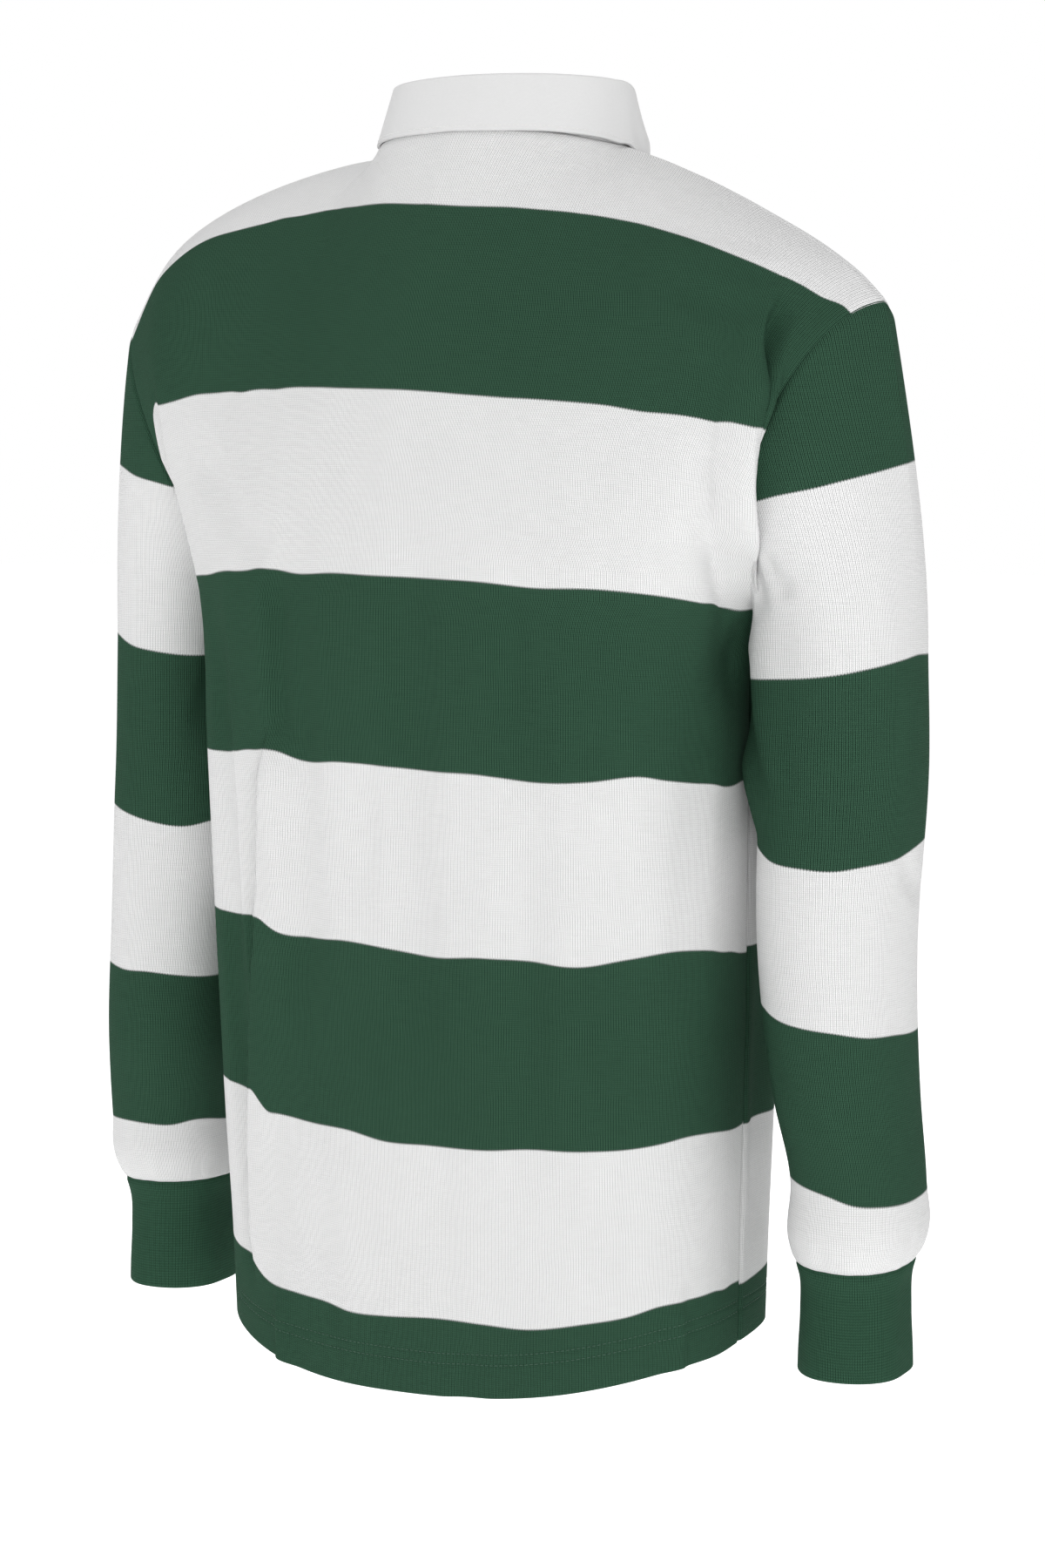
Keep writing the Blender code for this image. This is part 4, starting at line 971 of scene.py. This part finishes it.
def cuff(sign):
    """A cuff's points from its seam down the outside, round the fold and up inside, then its outer side."""
    turn = np.linspace(-pi, pi, ROUND + 1)
    low = CUFF_RINGS[0][0] + CUFF_LAYER / 2
    heights = np.concatenate([CUFF_TOP - np.array(CUFF_NEAR),
                              spaced(CUFF_TOP - CUFF_FROM, low, CUFF_STEP), [low]])
    outer = np.array([sleeve_ring(CUFF_RINGS, h, sign, turn) for h in heights])
    out = faced(outer, hollow_centre(outer))
    wave = sum(deep * np.sin(count * turn + sign) for count, deep in CUFF_WAVES)
    below = (CUFF_TOP - heights)[:, None]
    curl = soft(1 - below / SEAM_CURL_WIDE) * SEAM_CURL
    outer = outer + out * (soft(below / WAVES_FADE) * wave - curl)[..., None]
    outer[..., 2] -= sagged(sign, turn, below)
    fold = turned(outer[-1], out[-1] * (1, 1, 0), np.array([0, 0, -1]), CUFF_LAYER, CUFF_BEND)
    inner = outer[::-1][:-3] - out[::-1][:-3] * CUFF_LAYER
    grid = np.concatenate([outer, fold, inner])
    grid[:, -1] = grid[:, 0] = (grid[:, 0] + grid[:, -1]) / 2
    place = np.stack([np.tile(turn / (2 * pi) * CUFF_GIRTH, (len(grid), 1)), lengths(grid)], -1)
    return grid, place, outer


RIBBED = cuff_finish()
for name, sign in (("right", RIGHT), ("left", LEFT)):
    points, place, outer = cuff(sign)
    piece = cloth_piece(f"cuff_{name}_rib", points, place, np.zeros(points.shape[:2]), RIB, RIBBED,
                        hollow_centre(outer))
    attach(piece, "root")
    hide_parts(f"cuff_{name}")


# ---------------------------------------------------------------- collar
# The collar is one band of white cotton twill. Its foot is sewn inside the neck edge, it is pressed over into
# a stand and a fall, and a row of stitches runs close to the fall's edge.
# Angle from the centre back, height of the fold and how far it lies inside the collar's oval, height of the
# fall's edge and how far that stands out of it.
COLLAR = (
    (0, 0.0298, 0, -0.004, 0.008),
    (60, 0.029, 0, -0.006, 0.0075),
    (80, 0.0288, -0.0005, -0.0095, 0.0075),
    (95, 0.0281, 0.0002, -0.015, 0.008),
    (110, 0.0206, 0.003, -0.029, 0.011),
    (125, 0.001, 0.005, -0.047, 0.014),
    (150, -0.037, 0.006, -0.083, 0.02),
    (176, -0.06, 0.005, -0.124, 0.026),
)
COLLAR_HALF, COLLAR_DEPTH, FOLD_FORWARD = 0.0700, 0.0635, 0.007
COLLAR_SWEEP, SWEEP_FROM = 0.13, 100 # how far the collar's points swing back, and the angle it starts at
COLLAR_NEAR, COLLAR_CLEAR = 0.0003, 0.0040      # space under the fall behind, and over the placket in front
CLEAR_FROM, CLEAR_OVER = 135, 30     # the angle where the fall starts to lift off, and over how many degrees
COLLAR_REACH = 0.014                 # how near the cloth must be to hold the fall out
STAND_ROWS, FOLD_STEPS, FALL_ROWS = 12, 8, 26
FOLD_ROW = STAND_ROWS + FOLD_STEPS - 2          # the last row of the fold
UNDER_U, UNDER_T = np.linspace(-0.6, 0.6, 97), np.linspace(0.3, 1, 60)   # the cloth that the fall lies on
COLLAR_WORKED, COLLAR_COLUMNS = 45, 169         # columns worked out, and those spaced between them
COLLAR_EDGE = 0.0006                 # width of the collar's rounded edges
TWILL, TWILL_RIB, TWILL_THREAD = 0.0018, 0.0009, 0.0005     # thickness, and pitch of its ribs and threads
TWILL_DIP, TWILL_RELIEF = 0.00012, 0.35
FOLD_ROUND, FOLD_DROP = 0.0013, 0.0022
FOOT_INSIDE, FOOT_BELOW = 0.0024, 0.0030        # how far the foot lies inside the neck edge, and under it
TWILL_WHITE, TWILL_SHADE = linear(217, 217, 217), linear(209, 209, 209)
THREAD_WHITE, THREAD_SHADE = linear(240, 240, 239), linear(214, 214, 213)


def twill_finish():
    """Smooth white cotton twill, its fine ribs running up to the right."""
    cloth, shader = new_finish("white_twill", {"Specular IOR Level": 0.2})
    spot = place_in_cloth(cloth)
    across, along = across_and_along(spot)
    rib = scaled(worked("COSINE", times(plus(across, along), 2 * pi / TWILL_RIB)), 0.5, 0.5)
    rib = plus(rib, times(worked("COSINE", times(along, 2 * pi / TWILL_THREAD)), 0.15))
    yarn = noise_at(spot, 500, 900, 2)
    relief(shader, plus(rib, yarn), TWILL_DIP, TWILL_RELIEF)
    lit = times(plus(times(rib, 0.5), yarn), 0.8)
    feed(shader, "Base Color", blended(lit, TWILL_SHADE, TWILL_WHITE))
    feed(shader, "Roughness", scaled(yarn, 0.15, 0.62))
    return cloth


def thread_finish(name, light, dark):
    """Sewing thread, a little darker in its twist."""
    thread, shader = new_finish(name, {"Roughness": 0.55})
    spot = thread.node_tree.nodes.new("ShaderNodeTexCoord").outputs["Object"]
    feed(shader, "Base Color", blended(noise_at(spot, 1500, 1500, 1), dark, light))
    return thread


def laid_over(points, cloth, cloth_out, clear):
    """The fall's points, from the fold down, held out by the cloth near under them and taut above that."""
    moved = points.copy()
    for _ in range(3):
        for i, point in enumerate(moved):
            gap = ((cloth - point) ** 2).sum(1)
            near = np.argmin(gap)
            over = (point - cloth[near]) @ cloth_out[near]
            if over < clear and gap[near] < COLLAR_REACH**2:
                moved[i] = point + cloth_out[near] * (clear - over)
    push = moved - points
    for i in reversed(range(len(push) - 1)):
        drawn = push[i + 1] * i / (i + 1)
        if drawn @ drawn > push[i] @ push[i]:
            push[i] = drawn
    return points + push


def collar_section(turn, cloth, cloth_out):
    """The middle of the collar's thickness at one angle: up the stand, over the fold and down the fall."""
    degrees = abs(turn) * 180 / pi
    fold_z, fold_in, edge_z, out = read(COLLAR, degrees)
    away = np.array([np.sin(turn), np.cos(turn), 0.0])
    x, y = oval(turn, COLLAR_HALF, COLLAR_DEPTH, NECK_SQUARE)
    top = np.array([x, NECK_Y - FOLD_FORWARD + y, fold_z - FOLD_DROP]) - away * fold_in
    foot = neck_edge(np.array([turn]))[0] - away * FOOT_INSIDE - np.array([0, 0, FOOT_BELOW])
    swung = turn * (1 - COLLAR_SWEEP * soft((degrees - SWEEP_FROM) / (COLLAR[-1][0] - SWEEP_FROM)))
    x, y = oval(swung, COLLAR_HALF, COLLAR_DEPTH, NECK_SQUARE)
    edge = np.array([x + out * np.sin(swung), NECK_Y + y + out * np.cos(swung), edge_z])
    stand = foot + (top - foot) * np.linspace(0, 1, STAND_ROWS)[:, None]
    bend = np.linspace(0, pi, FOLD_STEPS + 1)[1:-1, None]
    centre = top + away * FOLD_ROUND
    crown = centre - away * FOLD_ROUND * np.cos(bend) + np.array([0, 0, FOLD_ROUND]) * np.sin(bend)
    start = centre + away * FOLD_ROUND
    fall = start + (edge - start) * np.linspace(0, 1, FALL_ROWS)[:, None]
    clear = COLLAR_NEAR + (COLLAR_CLEAR - COLLAR_NEAR) * soft((degrees - CLEAR_FROM) / CLEAR_OVER)
    return np.concatenate([stand, crown, laid_over(fall, cloth, cloth_out, clear + TWILL / 2)])


def collar_points():
    """The collar's points: columns round from one front end, rows from the foot to the fall's edge."""
    under = [over_underarm(UNDER_U, UNDER_T, BACK, COLUMNS_BACK),
             over_underarm(UNDER_U, UNDER_T, FRONT, COLUMNS_FRONT)]
    cloth = np.concatenate([grid.reshape(-1, 3) for grid in under])
    cloth_out = np.concatenate([faced(grid, INSIDE_BODY).reshape(-1, 3) for grid in under])
    end = radians(COLLAR[-1][0])
    turns = np.linspace(-end, end, COLLAR_WORKED)
    sections = np.array([collar_section(turn, cloth, cloth_out) for turn in turns])
    return through(turns, sections, np.linspace(-end, end, COLLAR_COLUMNS)).transpose(1, 0, 2)


def stitches(name, lines, pitch, long, thick, finish):
    """Stitches along lines on the cloth, each line given by its points and the cloth's normals there."""
    bm = bmesh.new()
    bmesh.ops.create_uvsphere(bm, u_segments=6, v_segments=4, radius=0.5)
    bmesh.ops.scale(bm, vec=(long, thick, thick), verts=bm.verts)
    one = bpy.data.meshes.new("one_stitch")
    bm.to_mesh(one)
    bm.clear()
    for points, out in lines:
        length = lengths(points)
        for at in np.arange(pitch / 2, length[-1], pitch):
            spot, ahead, up = (np.array([np.interp(x, length, part) for part in values.T])
                               for x, values in ((at, points), (at + pitch / 4, points), (at, out)))
            along = unit(ahead - spot)
            aside = unit(np.cross(up, along))
            axes = Matrix((along, aside, np.cross(along, aside))).transposed()
            bm.from_mesh(one)
            bm.verts.ensure_lookup_table()
            for vert in bm.verts[-len(one.vertices):]:
                vert.co = Vector(spot) + axes @ vert.co
    bpy.data.meshes.remove(one)
    return made(name, bm, finish)


TWILLED = twill_finish()
WHITE_THREAD = thread_finish("white_thread", THREAD_WHITE, THREAD_SHADE)
points = collar_sheet = collar_points()
along_fold = lengths(points[FOLD_ROW])
place = np.stack([np.tile(along_fold, (len(points), 1)), lengths(points)], -1)
neck_middle = np.array([0, NECK_Y, 0.05])
collar = cloth_piece("collar_twill", points, place, np.zeros(points.shape[:2]), TWILL, TWILLED, neck_middle)
collar.modifiers["thickness"].offset = 0
edges = collar.modifiers.new("edges", "BEVEL")
edges.width = COLLAR_EDGE
edges.segments = 2
edges.limit_method = "ANGLE"
edges.angle_limit = radians(60)
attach(collar, "root")
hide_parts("collar")


# ---------------------------------------------------------------- placket
# Two strips of the same twill finish the slit, one over the front and one behind it. Each is sewn down close
# to both edges, and through all the layers in a box at its low end.
STRIP_U = 0.070                      # half width of a strip
STRIP_LOW, STRIP_HIGH = 2 / 12, 1 - 0.02 / 12   # its ends, as shares of the way up from the underarm
STRIP_GAP, STRIP_CURL = 0.0004, 0.0003
STRIP_SEWN, BOX_TALL = 0.0020, 0.026 # from a strip's edge to its stitches, and the height of the box
STRIP_NEAR, STRIP_STEP = (0, 0.0006, 0.0015), 0.003     # rows at its low end, and the step between the others
INSIDE_CHEST = np.array([0, 0, -0.2])
STRIP_COLUMNS = (0, 0.25, 0.5, 0.7, 0.85, 0.92, 0.97, 1)
SEWN_DIP, SEWN_HALF = 0.00025, 0.0012           # the groove along the stitches

strip_low, strip_high = up_middle((STRIP_LOW, STRIP_HIGH))
strip_u = np.concatenate([-np.array(STRIP_COLUMNS)[:0:-1], STRIP_COLUMNS]) * STRIP_U
rise = np.concatenate([strip_low + np.array(STRIP_NEAR),
                       spaced(strip_low + STRIP_STEP, strip_high, STRIP_STEP), [strip_high]])
spots = [on_cloth(front_face, strip_u, np.full(len(strip_u), height)) for height in rise]
face, out = (np.array([spot[part] for spot in spots]) for part in (0, 1))
across = np.tile(strip_u * PANEL_HALF, (len(rise), 1))
from_edge = np.minimum(strip_u[-1] * PANEL_HALF - np.abs(across), (rise - strip_low)[:, None])
press = np.clip(1 - ((from_edge - STRIP_SEWN) / SEWN_HALF) ** 2, 0, 1) * SEWN_DIP
press += soft(1 - from_edge / SEWN_HALF) * STRIP_CURL
strip_points = face + out * (STRIP_GAP + TWILL - press)[..., None]
place = np.stack([across, np.tile(rise[:, None], (1, len(strip_u)))], -1)
for name, points in (("outer", strip_points), ("under", face - out * (JERSEY + STRIP_GAP))):
    strip = cloth_piece(f"placket_{name}_strip", points, place, np.zeros(points.shape[:2]), TWILL, TWILLED,
                        INSIDE_CHEST)
    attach(strip, "root")
    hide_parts(f"placket_{name}")


# ---------------------------------------------------------------- buttons
# Three moulded white rubber buttons, each with a raised rim, a shallow dish and four holes, sewn on through
# the strips with a cross of thread, over a worked buttonhole.
BUTTON_AT = (("top", 10 / 12), ("middle", 7 / 12), ("low", 4 / 12))
BUTTON_RADIUS, BUTTON_TALL = 0.0075, 0.0030
# The button's section from its middle out, over the rim and in under it: radius, height above the strip.
BUTTON_SECTION = (
    (0.0005, 0.0022), (0.0012, 0.0022), (0.0018, 0.0022), (0.0024, 0.0022), (0.0032, 0.0022),
    (0.0044, 0.00225), (0.0051, 0.0025), (0.0056, 0.00285), (0.0061, 0.0030), (0.0067, 0.0029),
    (0.0072, 0.0025), (0.0075, 0.0019), (0.0074, 0.0013), (0.0069, 0.0008), (0.0058, 0.0005),
    (0.0030, 0.0004), (0.0005, 0.0004),
)
BUTTON_ROUND, DISH_RADIUS = 64, 0.003
HOLE_OUT, HOLE_RADIUS, HOLE_DEEP = 0.0016, 0.00055, 0.0014
HOLE_REACH, HOLE_EASE = 1.5, 0.9     # how far out a hole's wall starts, and over what width, in its radii
CROSS_LOW, CROSS_STEP = 0.0023, 0.0002          # height of the cross's lower thread, and the upper's over it
BUTTONHOLE_HALF, BUTTONHOLE_WIDE, BUTTONHOLE_PITCH = 0.0105, 0.0008, 0.0005
BUTTONHOLE_BITE = 0.0006             # half the length of a buttonhole's stitch
THREAD_LIFT = 0.0001                 # how far the middle of a thread lies over the cloth
RUBBER, RUBBER_DARK = linear(226, 226, 222), linear(206, 206, 201)
RUBBER_GRAIN, RUBBER_RELIEF = 0.00005, 0.3


def rubber_finish():
    """Matte moulded white rubber, faintly clouded."""
    rubber, shader = new_finish("white_rubber", {})
    spot = rubber.node_tree.nodes.new("ShaderNodeTexCoord").outputs["Object"]
    cloud, grain = noise_at(spot, 260, 260, 2), noise_at(spot, 2600, 2600, 1)
    feed(shader, "Base Color", blended(cloud, RUBBER_DARK, RUBBER))
    feed(shader, "Roughness", scaled(grain, 0.2, 0.42))
    relief(shader, grain, RUBBER_GRAIN, RUBBER_RELIEF)
    return rubber


def seat(height):
    """Where a button sits: its place on the outer strip, with across, up the strip, and out as columns."""
    row = np.interp(height, rise, np.arange(len(rise)))
    low, share = int(row), row - int(row)
    line = strip_points[low] * (1 - share) + strip_points[low + 1] * share
    middle = len(strip_u) // 2
    up = unit(strip_points[low + 1, middle] - strip_points[low, middle])
    away = unit(np.cross(line[middle + 2] - line[middle - 2], up))
    away = away if away[1] < 0 else -away
    return line[middle], np.stack([np.cross(up, away), up, away], -1)


def button(name, spot, axes, finish):
    """A button turned from its section, with its four holes sunk into the dish."""
    bm = bmesh.new()
    section = [bm.verts.new((radius, 0, height)) for radius, height in BUTTON_SECTION]
    edges = [bm.edges.new(pair) for pair in zip(section, section[1:])]
    bmesh.ops.spin(bm, geom=section + edges, cent=(0, 0, 0), axis=(0, 0, 1), angle=2 * pi,
                   steps=BUTTON_ROUND, use_merge=True)
    bmesh.ops.holes_fill(bm, edges=[edge for edge in bm.edges if edge.is_boundary], sides=0)
    for vert in bm.verts:
        x, y, z = vert.co
        if z > BUTTON_TALL / 2 and np.hypot(x, y) < DISH_RADIUS:
            for angle in pi / 4 + np.arange(4) * pi / 2:
                away = np.hypot(x - HOLE_OUT * cos(angle), y - HOLE_OUT * sin(angle))
                z -= HOLE_DEEP * float(soft((HOLE_RADIUS * HOLE_REACH - away) / (HOLE_RADIUS * HOLE_EASE)))
        vert.co = spot + axes @ np.array([x, y, z])
    bmesh.ops.recalc_face_normals(bm, faces=bm.faces)
    return made(name, bm, finish)


RUBBERED = rubber_finish()
cross, holes = [], []
for name, share in BUTTON_AT:
    spot, axes = seat(up_middle(share))
    piece = button(f"button_{name}_rubber", spot, axes, RUBBERED)
    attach(piece, "root")
    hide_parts(f"button_{name}")
    out = np.tile(axes[:, 2], (2, 1))
    reach = HOLE_OUT * 2**0.5 / 2
    for lift, x, y in ((CROSS_LOW, reach, reach), (CROSS_LOW + CROSS_STEP, reach, -reach)):
        ends = [spot + axes @ np.array([side * x, side * y, lift]) for side in (-1, 1)]
        cross.append((np.array(ends), out))
    # the buttonhole runs up the strip, edged with close stitches
    for along in np.arange(-BUTTONHOLE_HALF, BUTTONHOLE_HALF + BUTTONHOLE_PITCH / 2, BUTTONHOLE_PITCH):
        for side in (-1, 1):
            ends = [side * BUTTONHOLE_WIDE + x for x in (-BUTTONHOLE_BITE, BUTTONHOLE_BITE)]
            holes.append((np.array([spot + axes @ np.array([x, along, THREAD_LIFT]) for x in ends]), out))


# ---------------------------------------------------------------- stitches
# The seams and hems are held by lockstitch: two rows of green thread round the hem, and white thread round
# the collar's edge, the half-moon of cloth lining the back of the neck, and the placket's strips.
HEM_PITCH, COLLAR_PITCH = 0.0030, 0.0025
COLLAR_SEWN = 0.0030                 # from the fall's edge to its stitches
FALL_SEWN = FOLD_ROW + 4             # the row of the fall where the stitches down its ends start
COLLAR_LIFT, STRIP_SINK = 0.00005, 0.0002       # how far thread stands out of the collar and sinks in a strip
HEM_REACH = 0.985                    # share of the panel's half width that the hem's stitches reach
MOON_SPOTS, STRIP_SPOTS, BOX_SPOTS = 61, 60, 20 # points worked out along each line
# The half-moon's edge: place across the back, height along.
HALF_MOON = (
    (-0.290, 0.2700), (-0.246, 0.2579), (-0.189, 0.2451), (-0.065, 0.2396), (0.076, 0.2446), (0.160, 0.2560),
    (0.21, 0.27),
)
GREEN_THREAD = thread_finish("green_thread", linear(66, 100, 82), linear(44, 72, 57))

hem_rows = []
for face, count in ((back_face, 141), (front_face, 121)):
    u = np.linspace(-HEM_REACH, HEM_REACH, count)
    for needle in NEEDLES:
        spot, out = on_cloth(face, u, np.full(count, HEM_Z + needle - UNDERARM_Z))
        hem_rows.append((spot + out * THREAD_LIFT, out))
collar_out = faced(collar_sheet, neck_middle)
from_edge = lengths(collar_sheet[::-1])[::-1]
row = np.abs(from_edge[:, len(from_edge[0]) // 2] - COLLAR_SEWN).argmin()
lifted = collar_sheet + collar_out * (TWILL / 2 + COLLAR_LIFT)
collar_rows = [(lifted[row, 1:-1], collar_out[row, 1:-1])]
for column in (1, -2):
    collar_rows.append((lifted[FALL_SEWN:row + 1, column], collar_out[FALL_SEWN:row + 1, column]))
u = np.linspace(HALF_MOON[0][0], HALF_MOON[-1][0], MOON_SPOTS)
spot, out = on_cloth(back_face, u, read(HALF_MOON, u)[:, 0])
moon = [(spot + out * THREAD_LIFT, out)]
side_u = STRIP_U - STRIP_SEWN / PANEL_HALF
strip_rows = []
for u in (-side_u, side_u):
    up_strip = np.linspace(strip_low + STRIP_SEWN, strip_high, STRIP_SPOTS)
    spot, out = on_cloth(front_face, np.full(STRIP_SPOTS, u), up_strip)
    strip_rows.append((spot + out * (STRIP_GAP + TWILL - STRIP_SINK), out))
for height in (strip_low + STRIP_SEWN, strip_low + BOX_TALL):
    spot, out = on_cloth(front_face, np.linspace(-side_u, side_u, BOX_SPOTS), np.full(BOX_SPOTS, height))
    strip_rows.append((spot + out * (STRIP_GAP + TWILL), out))
# name, lines, pitch, length and thickness of a stitch, finish, slot
for name, lines, pitch, long, thick, finish, paint_slot in (
    ("hem_stitches", hem_rows, HEM_PITCH, 0.0023, 0.0005, GREEN_THREAD, "green_jersey"),
    ("collar_stitches", collar_rows, COLLAR_PITCH, 0.0019, 0.0004, WHITE_THREAD, "white_twill"),
    ("neck_stitches", moon, COLLAR_PITCH, 0.0018, 0.0004, WHITE_THREAD, "white_twill"),
    ("placket_stitches", strip_rows, COLLAR_PITCH, 0.0019, 0.0004, WHITE_THREAD, "white_twill"),
    ("buttonhole_stitches", holes, 0.0012, 0.0014, 0.0005, WHITE_THREAD, "white_twill"),
    ("button_thread", cross, 0.0023, 0.0026, 0.0008, WHITE_THREAD, "white_twill"),
):
    piece = stitches(name, lines, pitch, long, thick, finish)
    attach(piece, "root")
